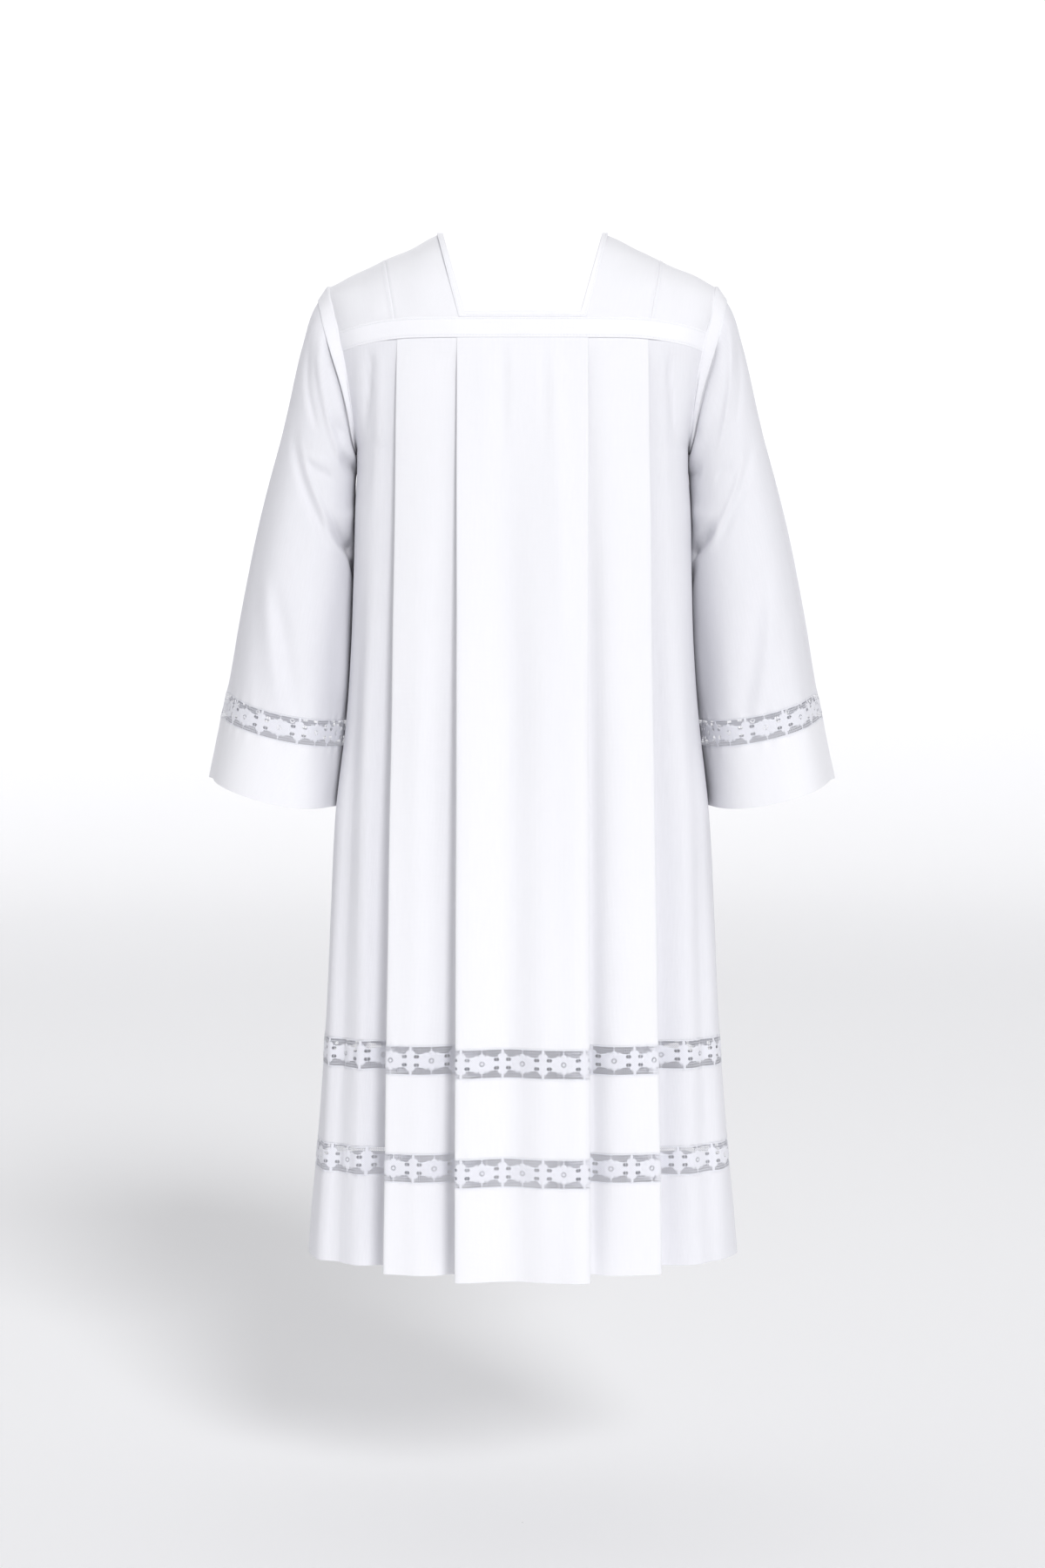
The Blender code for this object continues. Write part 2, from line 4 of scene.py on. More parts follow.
import bpy
import numpy as np
from mathutils.geometry import delaunay_2d_cdt
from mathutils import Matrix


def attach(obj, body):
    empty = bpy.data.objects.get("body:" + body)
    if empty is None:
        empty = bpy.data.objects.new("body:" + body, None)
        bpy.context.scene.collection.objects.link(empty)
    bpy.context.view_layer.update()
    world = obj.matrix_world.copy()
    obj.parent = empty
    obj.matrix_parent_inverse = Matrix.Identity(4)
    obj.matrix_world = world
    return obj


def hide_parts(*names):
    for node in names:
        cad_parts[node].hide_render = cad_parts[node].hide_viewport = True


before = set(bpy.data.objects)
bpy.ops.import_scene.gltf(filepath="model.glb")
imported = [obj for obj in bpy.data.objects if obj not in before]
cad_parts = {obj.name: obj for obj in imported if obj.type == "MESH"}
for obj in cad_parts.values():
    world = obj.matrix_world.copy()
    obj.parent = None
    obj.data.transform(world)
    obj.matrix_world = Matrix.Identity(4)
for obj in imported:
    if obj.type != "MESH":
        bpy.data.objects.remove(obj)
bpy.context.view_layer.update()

# ---- Back and front panels ----
# Each is one wide piece of white polyester and cotton poplin, pressed into two deep knife
# pleats a side whose fold edges face outwards. The pleats fan out below the yoke band. Both
# panels are sewn together down the wearer's sides, from the armholes to the hem.
BACK, FRONT = 1.0, -1.0
WEARER_LEFT, WEARER_RIGHT = 1.0, -1.0
BAND_TOP_Z = {BACK: -0.104, FRONT: -0.124}
BAND_WIDTH = 0.024
BAND_DROP, BAND_DROP_FROM, BAND_DROP_TO = 0.014, 0.12, 0.214
HEM_Z, HEM_SIDE_LIFT = -1.205, 0.006
UPPER_LACE = (-0.9400, -0.9747)
LOWER_LACE = (-1.0645, -1.0988)

# How far the fold edges are from the centre line, how deep the tucks are, how far one layer
# stands off the next, and how thick a pressed fold is: at the yoke band, and at the hem
INNER_FOLD = (0.0755, 0.0780)
OUTER_FOLD = (0.1445, 0.1615)
TUCK_DEPTH = 0.038
LAYER_STEP = (0.0034, 0.044)
FOLD_TURN = (0.0017, 0.003)
FRONT_STEP_SHARE = 0.85
PRESSED_STEP, FAN_LENGTH = 0.0006, 0.045

# The oval that the panels lie on, which opens out from the chest to the hem
RING_SQUARENESS = 3.2
Side = namedtuple("Side", "z half_width")
SIDES = (
    Side(-0.280, 0.1945), Side(-0.320, 0.1970), Side(-0.380, 0.1982), Side(-0.495, 0.2025),
    Side(-0.570, 0.2080), Side(-0.671, 0.2195), Side(-0.793, 0.2266), Side(-0.935, 0.2335),
    Side(-1.060, 0.2425), Side(-1.165, 0.2520), Side(-1.205, 0.2548),
)
Depth = namedtuple("Depth", "z back front")
DEPTHS = (
    Depth(-0.100, 0.100, 0.090), Depth(-0.150, 0.104, 0.099), Depth(-0.220, 0.108, 0.110),
    Depth(-0.320, 0.109, 0.115), Depth(-0.600, 0.107, 0.109), Depth(-1.205, 0.105, 0.105),
)

# Rings of the left sleeve from its armhole: the outer, middle and inner point from the back,
# then the half-depth, the centre's Y and how square the ring is
Ring = namedtuple("Ring", "along outer_x outer_z middle_x middle_z inner_x inner_z depth y square")
ARMHOLE = Ring(0.000, 0.2280, -0.062, 0.2065, -0.155, 0.1945, -0.252, 0.056, 0.000, 2.5)
RINGS = (
    ARMHOLE,
    Ring(0.031, 0.2450, -0.088, 0.2250, -0.178, 0.1966, -0.273, 0.066, -0.004, 2.5),
    Ring(0.073, 0.2580, -0.128, 0.2345, -0.213, 0.1975, -0.305, 0.075, -0.012, 2.6),
    Ring(0.152, 0.2770, -0.205, 0.2430, -0.275, 0.1980, -0.355, 0.085, -0.024, 2.7),
    Ring(0.249, 0.3005, -0.299, 0.2540, -0.352, 0.1995, -0.423, 0.094, -0.034, 2.8),
    Ring(0.407, 0.3330, -0.454, 0.2710, -0.486, 0.2050, -0.527, 0.107, -0.042, 2.8),
    Ring(0.493, 0.3480, -0.538, 0.2800, -0.561, 0.2095, -0.569, 0.113, -0.044, 2.8),
    Ring(0.525, 0.3550, -0.569, 0.2850, -0.592, 0.2130, -0.602, 0.116, -0.044, 2.8),
    Ring(0.596, 0.3700, -0.639, 0.2930, -0.665, 0.2210, -0.672, 0.121, -0.045, 2.8),
)

# Soft folds on a panel, on its cloth spread flat: across from the centre line and down, both
# in metres, from one end to the other. A fold has a width, a rise off the cloth (a trough's is
# negative), a bend to one side at its middle, and a lean that makes one flank steeper.
Crease = namedtuple("Crease", "from_across from_down to_across to_down width rise bend lean")
BACK_CREASES = (
    Crease(0.022, -0.10, 0.004, -1.75, 0.034, -0.0150, 0.004, 0.2),
    Crease(0.0205, -0.09, 0.0215, -0.27, 0.0055, -0.0024, 0.001, 0.3),
    Crease(-0.0225, -0.09, -0.0260, -0.26, 0.0045, -0.0022, 0.000, -0.4),
    Crease(-0.0300, -0.09, -0.0470, -0.52, 0.0120, 0.0038, -0.004, 0.4),
    Crease(0.0480, -0.10, 0.0440, -0.34, 0.0080, 0.0009, 0.000, 0.0),
    Crease(-0.0600, -0.40, -0.0630, -1.60, 0.0120, 0.0022, 0.002, 0.2),
    Crease(0.0560, -0.45, 0.0600, -1.55, 0.0150, 0.0022, 0.000, -0.2),
    Crease(0.0860, -0.16, 0.0860, -1.70, 0.0130, -0.0062, 0.002, 0.4),
    Crease(0.1200, -0.30, 0.1240, -1.50, 0.0180, 0.0030, 0.003, 0.0),
    Crease(-0.0835, -0.12, -0.0860, -1.75, 0.0105, -0.0060, 0.001, -0.4),
    Crease(-0.1735, -0.12, -0.1790, -1.75, 0.0110, -0.0056, 0.000, -0.3),
    Crease(0.1740, -0.12, 0.1790, -1.75, 0.0100, -0.0046, 0.000, 0.3),
    Crease(-0.1250, -0.35, -0.1280, -1.45, 0.0200, 0.0022, -0.003, 0.0),
    Crease(0.2100, -0.10, 0.2290, -0.24, 0.0075, -0.0042, -0.006, 0.4),
    Crease(0.1880, -0.11, 0.2060, -0.36, 0.0090, 0.0030, -0.004, 0.2),
    Crease(-0.1970, -0.10, -0.2180, -0.26, 0.0070, -0.0038, 0.005, -0.4),
    Crease(-0.1830, -0.11, -0.1960, -0.34, 0.0090, 0.0024, 0.004, 0.0),
    Crease(0.2090, -0.30, 0.2130, -1.35, 0.0125, 0.0055, -0.004, -0.2),
    Crease(0.2370, -0.34, 0.2480, -1.60, 0.0120, -0.0055, 0.003, 0.2),
    Crease(0.1880, -0.42, 0.1860, -1.70, 0.0110, -0.0050, 0.002, 0.0),
    Crease(-0.1900, -0.45, -0.1880, -1.65, 0.0140, -0.0030, -0.002, 0.0),
    Crease(-0.2180, -0.36, -0.2260, -1.70, 0.0150, 0.0036, 0.004, 0.0),
    Crease(-0.2440, -0.50, -0.2580, -1.70, 0.0120, -0.0040, 0.000, 0.0),
    Crease(0.2700, -0.60, 0.2820, -1.70, 0.0120, 0.0035, 0.000, 0.0),
)
FRONT_CREASES = (
    Crease(-0.018, -0.11, 0.006, -1.70, 0.032, -0.0056, -0.004, -0.2),
    Crease(-0.0300, -0.10, -0.0290, -0.30, 0.0055, -0.0016, 0.001, 0.2),
    Crease(0.0180, -0.10, 0.0220, -0.27, 0.0050, -0.0015, 0.000, -0.3),
    Crease(0.0300, -0.11, 0.0500, -0.60, 0.0120, 0.0026, 0.005, 0.3),
    Crease(-0.0540, -0.40, -0.0600, -1.60, 0.0140, 0.0024, 0.000, 0.2),
    Crease(0.0860, -0.20, 0.0880, -1.70, 0.0110, -0.0046, 0.002, 0.4),
    Crease(-0.0850, -0.18, -0.0870, -1.70, 0.0120, -0.0050, 0.001, -0.4),
    Crease(0.1250, -0.34, 0.1230, -1.50, 0.0190, 0.0026, 0.003, 0.0),
    Crease(-0.1210, -0.30, -0.1260, -1.45, 0.0180, 0.0028, -0.003, 0.0),
    Crease(0.1960, -0.12, 0.2160, -0.30, 0.0080, -0.0042, -0.006, 0.4),
    Crease(0.1820, -0.12, 0.1990, -0.38, 0.0095, 0.0030, -0.004, 0.2),
    Crease(-0.2000, -0.12, -0.2190, -0.28, 0.0075, -0.0040, 0.006, -0.4),
    Crease(-0.1850, -0.12, -0.2020, -0.36, 0.0090, 0.0028, 0.004, 0.0),
    Crease(0.2160, -0.34, 0.2230, -1.45, 0.0140, 0.0045, -0.004, -0.2),
    Crease(-0.2120, -0.32, -0.2200, -1.60, 0.0130, 0.0048, 0.003, 0.2),
    Crease(0.2420, -0.45, 0.2540, -1.70, 0.0120, -0.0048, 0.000, 0.0),
    Crease(-0.2380, -0.40, -0.2500, -1.65, 0.0120, -0.0048, 0.002, 0.0),
    Crease(0.1890, -0.45, 0.1870, -1.65, 0.0120, -0.0040, 0.000, 0.0),
    Crease(-0.1890, -0.50, -0.1870, -1.70, 0.0120, -0.0038, 0.000, 0.0),
)
# The cloth that comes out from under a fold edge sinks in along it, more towards the hem
UNDERLAY_DIP, DIP_REACH = (0.0008, 0.0095), 0.0120
PUCKER_SPACING, PUCKER_RISE, PUCKER_REACH = 0.021, 0.0007, 0.009
WAVE_RISE, HEM_WAVE_RISE = 0.0008, 0.0012
# The folds die out below the yoke band and, over a few samples, beside the side seam. The
# yoke band's downward bend fades out of the panel below it.
HELD_BELOW_BAND, HELD_BY_SEAM = 0.03, 22
BAND_DROP_FADE, PLEAT_HEAD_Z = 0.12, -0.128
SEAMED_LEVELS = (*UPPER_LACE, *LOWER_LACE)

# How closely the cloth's section is followed, from the centre line out, and the piece of mesh
# between two of its rows and columns
RUN_SAMPLES = (78, 3, 46, 3, 104, 3, 46, 3, 118)
FOLD_SOFTNESS, TUCK_SOFTNESS, TUCK_REACH = 1, 6, 24
LEVEL_STEP = 0.0025
ROW_STEP, COLUMN_STEP, FOLD_COLUMN_REACH = 0.0065, 5, 7
SEAM_GAP = 0.0003
SEAM_TURN = 0.0005


def smooth(at, keys, values):
    """Read a table between its rows along a curve that has no corner at a row."""
    keys, values = np.array(keys), np.array(values)
    if keys[0] > keys[-1]:
        keys, values = keys[::-1], values[::-1]
    slopes = np.gradient(values, keys)
    low = np.clip(np.searchsorted(keys, at) - 1, 0, len(keys) - 2)
    span = keys[low + 1] - keys[low]
    t = np.clip((at - keys[low]) / span, 0.0, 1.0)
    from_low = (1 + 2 * t) * (1 - t) ** 2 * values[low] + t * (1 - t) ** 2 * span * slopes[low]
    from_high = t * t * (3 - 2 * t) * values[low + 1] - t * t * (1 - t) * span * slopes[low + 1]
    return from_low + from_high


def ease(share):
    """0 to 1 with a level start and end."""
    share = np.clip(share, 0.0, 1.0)
    return share * share * (3 - 2 * share)


def at_shares(points, shares):
    """Points at shares of the length along a polyline."""
    steps = np.linalg.norm(np.diff(points, axis=0), axis=1)
    length = np.concatenate(([0.0], np.cumsum(steps)))
    return np.stack([np.interp(np.array(shares) * length[-1], length, points[:, k])
                     for k in range(points.shape[1])], axis=1)


def sleeve_ring(along, count=361):
    """Closed ring of a left sleeve at a distance from its armhole, from its outer point."""
    def column(name):
        return smooth(along, [r.along for r in RINGS], [getattr(r, name) for r in RINGS])

    turn = np.linspace(0.0, 2 * math.pi, count)
    out = np.sign(np.cos(turn)) * np.abs(np.cos(turn)) ** (2 / column("square"))
    back = np.sign(np.sin(turn)) * np.abs(np.sin(turn)) ** (2 / column("square"))
    points = np.empty((count, 3))
    for axis, letter in ((0, "x"), (2, "z")):
        outer, middle, inner = (column(f"{place}_{letter}") for place in ("outer", "middle", "inner"))
        points[:, axis] = middle + out * (outer - inner) / 2 + out ** 2 * ((outer + inner) / 2 - middle)
    points[:, 1] = column("y") + back * column("depth")
    return points


ARMHOLE_LINE = sleeve_ring(0.0)[180::-1]


def armhole_at(z):
    """X and Y of the left armhole's seam at a height, on its back half."""
    x, y = (np.interp(z, ARMHOLE_LINE[:, 2], ARMHOLE_LINE[:, k]) for k in (0, 1))
    return float(x), float(max(y, 0.0))


def ring_depth(z, side):
    """Depth of the oval from the middle to the back or to the front."""
    name = "back" if side == BACK else "front"
    return smooth(z, [d.z for d in DEPTHS], [getattr(d, name) for d in DEPTHS])


def panel_edge(z):
    """X and Y of a panel's side edge: the armhole, and the side seam below it."""
    if z > ARMHOLE.inner_z:
        return armhole_at(z)
    return float(smooth(z, [s.z for s in SIDES], [s.half_width for s in SIDES])), 0.0


def ring_half_width(z, side):
    """Half-width of the oval that passes through the panel's side edge."""
    x, y = panel_edge(z)
    return x / (1 - (y / ring_depth(z, side)) ** RING_SQUARENESS) ** (1 / RING_SQUARENESS)


def ring_y(x, width, depth):
    """Y of the oval at a distance from the centre line."""
    share = np.minimum(np.abs(x) / width, 1.0)
    return depth * (1 - share ** RING_SQUARENESS) ** (1 / RING_SQUARENESS)


def band_swell(x):
    """Rise of the yoke band off the oval, over the heads of the pleats."""
    return 2 * LAYER_STEP[0] * (1 - ease((np.abs(x) - 0.070) / 0.115))


def band_drop(x):
    """How far the ends of the yoke band run down to the armholes."""
    return BAND_DROP * np.clip((np.abs(x) - BAND_DROP_FROM) / (BAND_DROP_TO - BAND_DROP_FROM), 0, 1) ** 2


def half_section(z, side):
    """Half a level section of the pleated cloth, from the centre line to the side seam: x, y."""
    pleat_top = BAND_TOP_Z[side] - BAND_WIDTH
    down = max(0.0, (pleat_top - z) / (pleat_top - HEM_Z))
    ranges = (INNER_FOLD, OUTER_FOLD, LAYER_STEP, FOLD_TURN)
    inner, outer, step, turn = (a + (b - a) * down for a, b in ranges)
    if side == FRONT:
        step = LAYER_STEP[0] + (step - LAYER_STEP[0]) * FRONT_STEP_SHARE
    corners = ((0.0, 2 * step), (inner, 2 * step), (inner, 2 * step - turn),
               (inner - TUCK_DEPTH, step + turn), (inner - TUCK_DEPTH, step), (outer, step),
               (outer, step - turn), (outer - TUCK_DEPTH, turn), (outer - TUCK_DEPTH, 0.0))
    width, depth = ring_half_width(z, side), ring_depth(z, side)
    fan = ease((pleat_top - z) / FAN_LENGTH)
    runs = []
    for count, (x0, rise0), (x1, rise1) in zip(RUN_SAMPLES, corners, corners[1:]):
        share = np.arange(count) / count
        x = x0 + (x1 - x0) * share
        rise = rise0 + (rise1 - rise0) * share
        pressed = band_swell(x) - PRESSED_STEP * (1 + 2 * (1 - rise / (2 * step)))
        runs.append(np.stack([x, ring_y(x, width, depth) + pressed + (rise - pressed) * fan], axis=1))
    edge_x, edge_y = panel_edge(z)
    power = RING_SQUARENESS / 2
    from_turn = math.asin(min((corners[-1][0] / width) ** power, 1.0))
    to_turn = math.atan2((edge_x / width) ** power, (edge_y / depth) ** power)
    turns = np.linspace(from_turn, to_turn, 121)
    rest = np.stack([width * np.sin(turns) ** (1 / power),
                     depth * np.maximum(np.cos(turns), 0.0) ** (1 / power)], axis=1)
    rest = at_shares(rest, np.arange(RUN_SAMPLES[-1] + 1) / RUN_SAMPLES[-1])
    pressed = np.maximum(band_swell(rest[:, 0]) - 3 * PRESSED_STEP, 0.0)
    rest[:, 1] += pressed * (1 - fan) * (rest[:, 1] > 0)
    return round_folds(np.concatenate(runs + [rest]))


def soften(line, reach):
    """The line with its corners rounded over a few samples, its two ends kept."""
    taps = np.arange(-3 * reach, 3 * reach + 1)
    weights = np.exp(-0.5 * (taps / reach) ** 2)
    wide = np.pad(line, ((3 * reach, 3 * reach), (0, 0)), mode="reflect", reflect_type="odd")
    return np.stack([np.convolve(wide[:, k], weights / weights.sum(), "valid")
                     for k in range(line.shape[1])], axis=1)


RUN_ENDS = np.cumsum(RUN_SAMPLES)
TUCK_PLACES = (RUN_ENDS[2], RUN_ENDS[6])


def round_folds(line):
    """Press the fold edges fairly sharp, and let the hidden tucks turn softly."""
    place = np.arange(len(line))
    near = sum(np.exp(-((place - tuck) / TUCK_REACH) ** 2) for tuck in TUCK_PLACES)[:, None]
    return soften(line, FOLD_SOFTNESS) * (1 - near) + soften(line, TUCK_SOFTNESS) * near


LEVELS = np.arange(-0.095, HEM_Z - 0.012, -LEVEL_STEP)
SECTIONS = {side: np.stack([half_section(z, side) for z in LEVELS]) for side in (BACK, FRONT)}
SEAM_PLACE = SECTIONS[BACK].shape[1] - 1


def arc_lengths(sections):
    """Lengths along each section's cloth, from the centre line."""
    steps = np.linalg.norm(np.diff(sections, axis=1), axis=2)
    return np.concatenate([np.zeros((len(sections), 1)), np.cumsum(steps, axis=1)], axis=1)


ARCS = {side: arc_lengths(SECTIONS[side])[:, :, None] for side in (BACK, FRONT)}


def read_sections(sections, z, place):
    """Values of a stack of sections at heights and at places along them."""
    level = np.clip((LEVELS[0] - z) / LEVEL_STEP, 0, len(LEVELS) - 1.001)
    place = np.clip(place, 0, SEAM_PLACE - 0.0001)
    row, column = level.astype(int), place.astype(int)
    down, over = (level - row)[..., None], (place - column)[..., None]
    upper = sections[row, column] * (1 - over) + sections[row, column + 1] * over
    lower = sections[row + 1, column] * (1 - over) + sections[row + 1, column + 1] * over
    return upper * (1 - down) + lower * down


def crease_rise(across, down, creases):
    """How far the soft folds lift the cloth at places on the spread cloth."""
    rise = np.zeros_like(across)
    for c in creases:
        run = np.array([c.to_across - c.from_across, c.to_down - c.from_down])
        length = np.linalg.norm(run)
        run /= length
        a, d = across - c.from_across, down - c.from_down
        share = (a * run[0] + d * run[1]) / length
        off = a * -run[1] + d * run[0] - c.bend * 4 * share * (1 - share)
        width = c.width * (1 + c.lean * np.tanh(off / c.width))
        ends = ease(share / 0.3) * ease((1 - share) / 0.3)
        rise += c.rise * np.exp(-(off / width) ** 2) * ends
    return rise


def puckers(across, down):
    """Small gathers where a seam draws the cloth up, uneven along it."""
    beat = np.sin(2 * math.pi * across / PUCKER_SPACING + 1.9 * np.sin(across * 83.0) + down * 9.0)
    return sum(PUCKER_RISE * beat * (0.6 + 0.4 * np.sin(across * 41.0 + level * 60))
               * np.exp(-((down - level) / PUCKER_REACH) ** 2) for level in SEAMED_LEVELS)


def hang_waves(across, down):
    """The slight unevenness of hanging cloth, which grows towards the hem."""
    low = np.clip((-0.5 - down) / 0.7, 0, 1)
    return (WAVE_RISE * np.sin(across * 47 + down * 9.0) * np.sin(down * 17 + 1.1)
            + HEM_WAVE_RISE * low * np.sin(across * 71 + 2.4 * np.sin(down * 5)))


def body_points(side, place, z):
    """Points of the pleated cloth. A place counts samples from the centre line, + to the left."""
    mirror = np.sign(place) + (place == 0)
    place = np.abs(place)
    x = read_sections(SECTIONS[side], z, place)[..., 0]
    fade = np.clip(1 - (BAND_TOP_Z[side] - BAND_WIDTH - z) / BAND_DROP_FADE, 0, 1)
    down_share = np.clip((PLEAT_HEAD_Z - z) / (PLEAT_HEAD_Z - HEM_Z), 0, 1)
    half_width = np.interp(-z, [-s.z for s in SIDES], [s.half_width for s in SIDES])
    to_side = np.minimum(x / half_width, 1)
    level = z - band_drop(x) * fade + HEM_SIDE_LIFT * down_share ** 6 * to_side ** 4
    x, y = np.moveaxis(read_sections(SECTIONS[side], level, place), -1, 0)
    depth = ring_depth(level, side)
    width = np.maximum(half_width, x)
    base = ring_y(x, width, depth)
    out = np.stack([x / width ** 2, base / depth ** 2], axis=-1)
    out /= np.linalg.norm(out, axis=-1, keepdims=True)
    across = mirror * (x + depth - base)
    creases = BACK_CREASES if side == BACK else FRONT_CREASES
    held = ease((BAND_TOP_Z[side] - BAND_WIDTH - z) / HELD_BELOW_BAND)
    held = held * ease((SEAM_PLACE - place) / HELD_BY_SEAM)
    loose = crease_rise(across, level, creases) + hang_waves(across, level) + puckers(across, level)
    rise = loose * held
    dip = UNDERLAY_DIP[0] + (UNDERLAY_DIP[1] - UNDERLAY_DIP[0]) * down_share
    for fold, turn in ((INNER_FOLD, RUN_ENDS[2]), (OUTER_FOLD, RUN_ENDS[6])):
        edge = fold[0] + (fold[1] - fold[0]) * down_share
        rise -= (place > turn) * dip * held * np.exp(-((x - edge) / DIP_REACH) ** 2)
    return np.stack([mirror * (x + out[..., 0] * rise),
                     side * (y + out[..., 1] * rise + SEAM_GAP / 2), level], axis=-1)


def normals_of(rows):
    """Unit normals of a grid of points, row by row."""
    down, over = np.gradient(rows, axis=0), np.gradient(rows, axis=1)
    normals = np.cross(over, down)
    return normals / np.maximum(np.linalg.norm(normals, axis=2, keepdims=True), 1e-12)


def sheet_mesh(name, rows, threads, closed=False, flip=False):
    """Mesh through rows of points. threads has each point's place on the flat cloth, in metres."""
    count, width = rows.shape[:2]
    index = np.arange(count * width).reshape(count, width)
    if closed:
        index = np.concatenate([index, index[:, :1]], axis=1)
        threads = np.concatenate([threads, threads[:, -1:] * 2 - threads[:, -2:-1]], axis=1)
    corners = np.stack([index[:-1, :-1], index[:-1, 1:], index[1:, 1:], index[1:, :-1]], axis=-1)
    places = np.stack([threads[:-1, :-1], threads[:-1, 1:], threads[1:, 1:], threads[1:, :-1]], axis=2)
    if flip:
        corners, places = corners[..., ::-1], places[:, :, ::-1]
    mesh = bpy.data.meshes.new(name)
    mesh.from_pydata(rows.reshape(-1, 3).tolist(), [], corners.reshape(-1, 4).tolist())
    layer = mesh.uv_layers.new(name="threads")
    layer.data.foreach_set("uv", np.ascontiguousarray(places).reshape(-1))
    mesh.shade_smooth()
    return mesh


def add_piece(name, mesh, material, nodes):
    """Put a sewn piece in the scene in place of its CAD nodes."""
    piece = bpy.data.objects.new(name, mesh)
    bpy.context.scene.collection.objects.link(piece)
    mesh.materials.append(material)
    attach(piece, "root")
    if nodes:
        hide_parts(*nodes)
    return piece


def with_turning(rows, threads, depth, start, sign):
    """Rows with the cloth turned back under their last one, as far as the row called start."""
    inward = normals_of(rows) * -sign
    edge = rows[-1:] + inward[-1:] * depth / 2
    under = rows[start:][::-1] + inward[start:][::-1] * depth
    turned = 2 * threads[-1:] - threads[start:][::-1]
    return (np.concatenate([rows, edge, under]),
            np.concatenate([threads, threads[-1:], turned]))


def body_columns():
    """Places of the mesh's columns: close together at the folds, wider on the flat cloth."""
    places = set(range(0, SEAM_PLACE + 1, COLUMN_STEP)) | {SEAM_PLACE - 2, SEAM_PLACE - 1, SEAM_PLACE}
    for fold in RUN_ENDS[:-1]:
        places |= set(range(fold - FOLD_COLUMN_REACH, fold + FOLD_COLUMN_REACH + 1))
    half = np.array(sorted(p for p in places if 0 <= p <= SEAM_PLACE), dtype=float)
    return np.concatenate([-half[:0:-1], half])


def body_rows(side, levels):
    """Grid of points of a strip of the body, with each point's place on the flat cloth."""
    z, place = np.meshgrid(np.array(levels), body_columns(), indexing="ij")
    rows = body_points(side, place, z)
    arcs = read_sections(ARCS[side], z, np.abs(place))[..., 0] * np.sign(place)
    return rows, np.stack([arcs, z], axis=-1)


def spaced(start, end, step, first_steps, last_steps):
    """Places of a strip's rows from start to end, with closer ones at its two seams."""
    way = 1 if end > start else -1
    inner_start, inner_end = start + way * sum(first_steps), end - way * sum(last_steps)
    count = max(1, round(way * (inner_end - inner_start) / step))
    near_start = [start + way * sum(first_steps[:k]) for k in range(len(first_steps))]
    near_end = [end - way * sum(last_steps[:k]) for k in range(len(last_steps))][::-1]
    return near_start + list(np.linspace(inner_start, inner_end, count + 1)) + near_end


def levels_between(top, low, top_steps=(), low_steps=()):
    """Heights of the rows of a strip of the body."""
    return spaced(top, low, ROW_STEP, top_steps, low_steps)


def linear(code, alpha=1.0):
    """An sRGB hex colour as linear red, green, blue and alpha."""
    parts = [int(code[k:k + 2], 16) / 255 for k in (1, 3, 5)]
    return tuple(p / 12.92 if p <= 0.04045 else ((p + 0.055) / 1.055) ** 2.4 for p in parts) + (alpha,)


def add_node(material, kind, settings, links=()):
    """Add a node, set its properties and sockets by name, and link its inputs."""
    tree = material.node_tree
    node = tree.nodes.new(kind)
    for name, value in settings.items():
        if name in node.inputs:
            node.inputs[name].default_value = value
        else:
            setattr(node, name, value)
    for name, source in links:
        tree.links.new(source, node.inputs[name])
    return node


# White polyester and cotton poplin, plain woven, bleached and pressed: a matt white with a
# faint blue cast, a soft sheen at grazing angles, and slight slubs along the thread. Its real
# thread spacing of 0.3 mm is too fine to show, so the weave is drawn 1.2 mm apart. The cloth is
# thin, and looks whiter the more layers of it lie together. The greyer one-layer tone is also
# painted shade: it darkens the sleeves and the body's sides beside them, where shade falls.
POPLIN_WHITE, POPLIN_SHADE = "#EDEDF1", "#ECECF0"
ONE_LAYER_PAINTED_SHADE_LIGHT, ONE_LAYER_PAINTED_SHADE_DARK = "#E6E6EB", "#E4E4E9"
FOLDED_WHITE, FOLDED_SHADE = "#F2F2F6", "#F1F1F5"
WEAVE_SPACING, SLUB_SPACING, SLUB_LENGTH = 0.0012, 0.0020, 0.030
POPLIN_ROUGHNESS, POPLIN_IOR, POPLIN_SHEEN, POPLIN_SHEEN_ROUGHNESS = 0.80, 1.50, 0.10, 0.45
POPLIN_RELIEF = 0.5


def set_shader(material, settings):
    """Set a material's surface by the names of its sockets."""
    shader = material.node_tree.nodes["Principled BSDF"]
    for name, value in settings.items():
        shader.inputs[name].default_value = value
    return shader


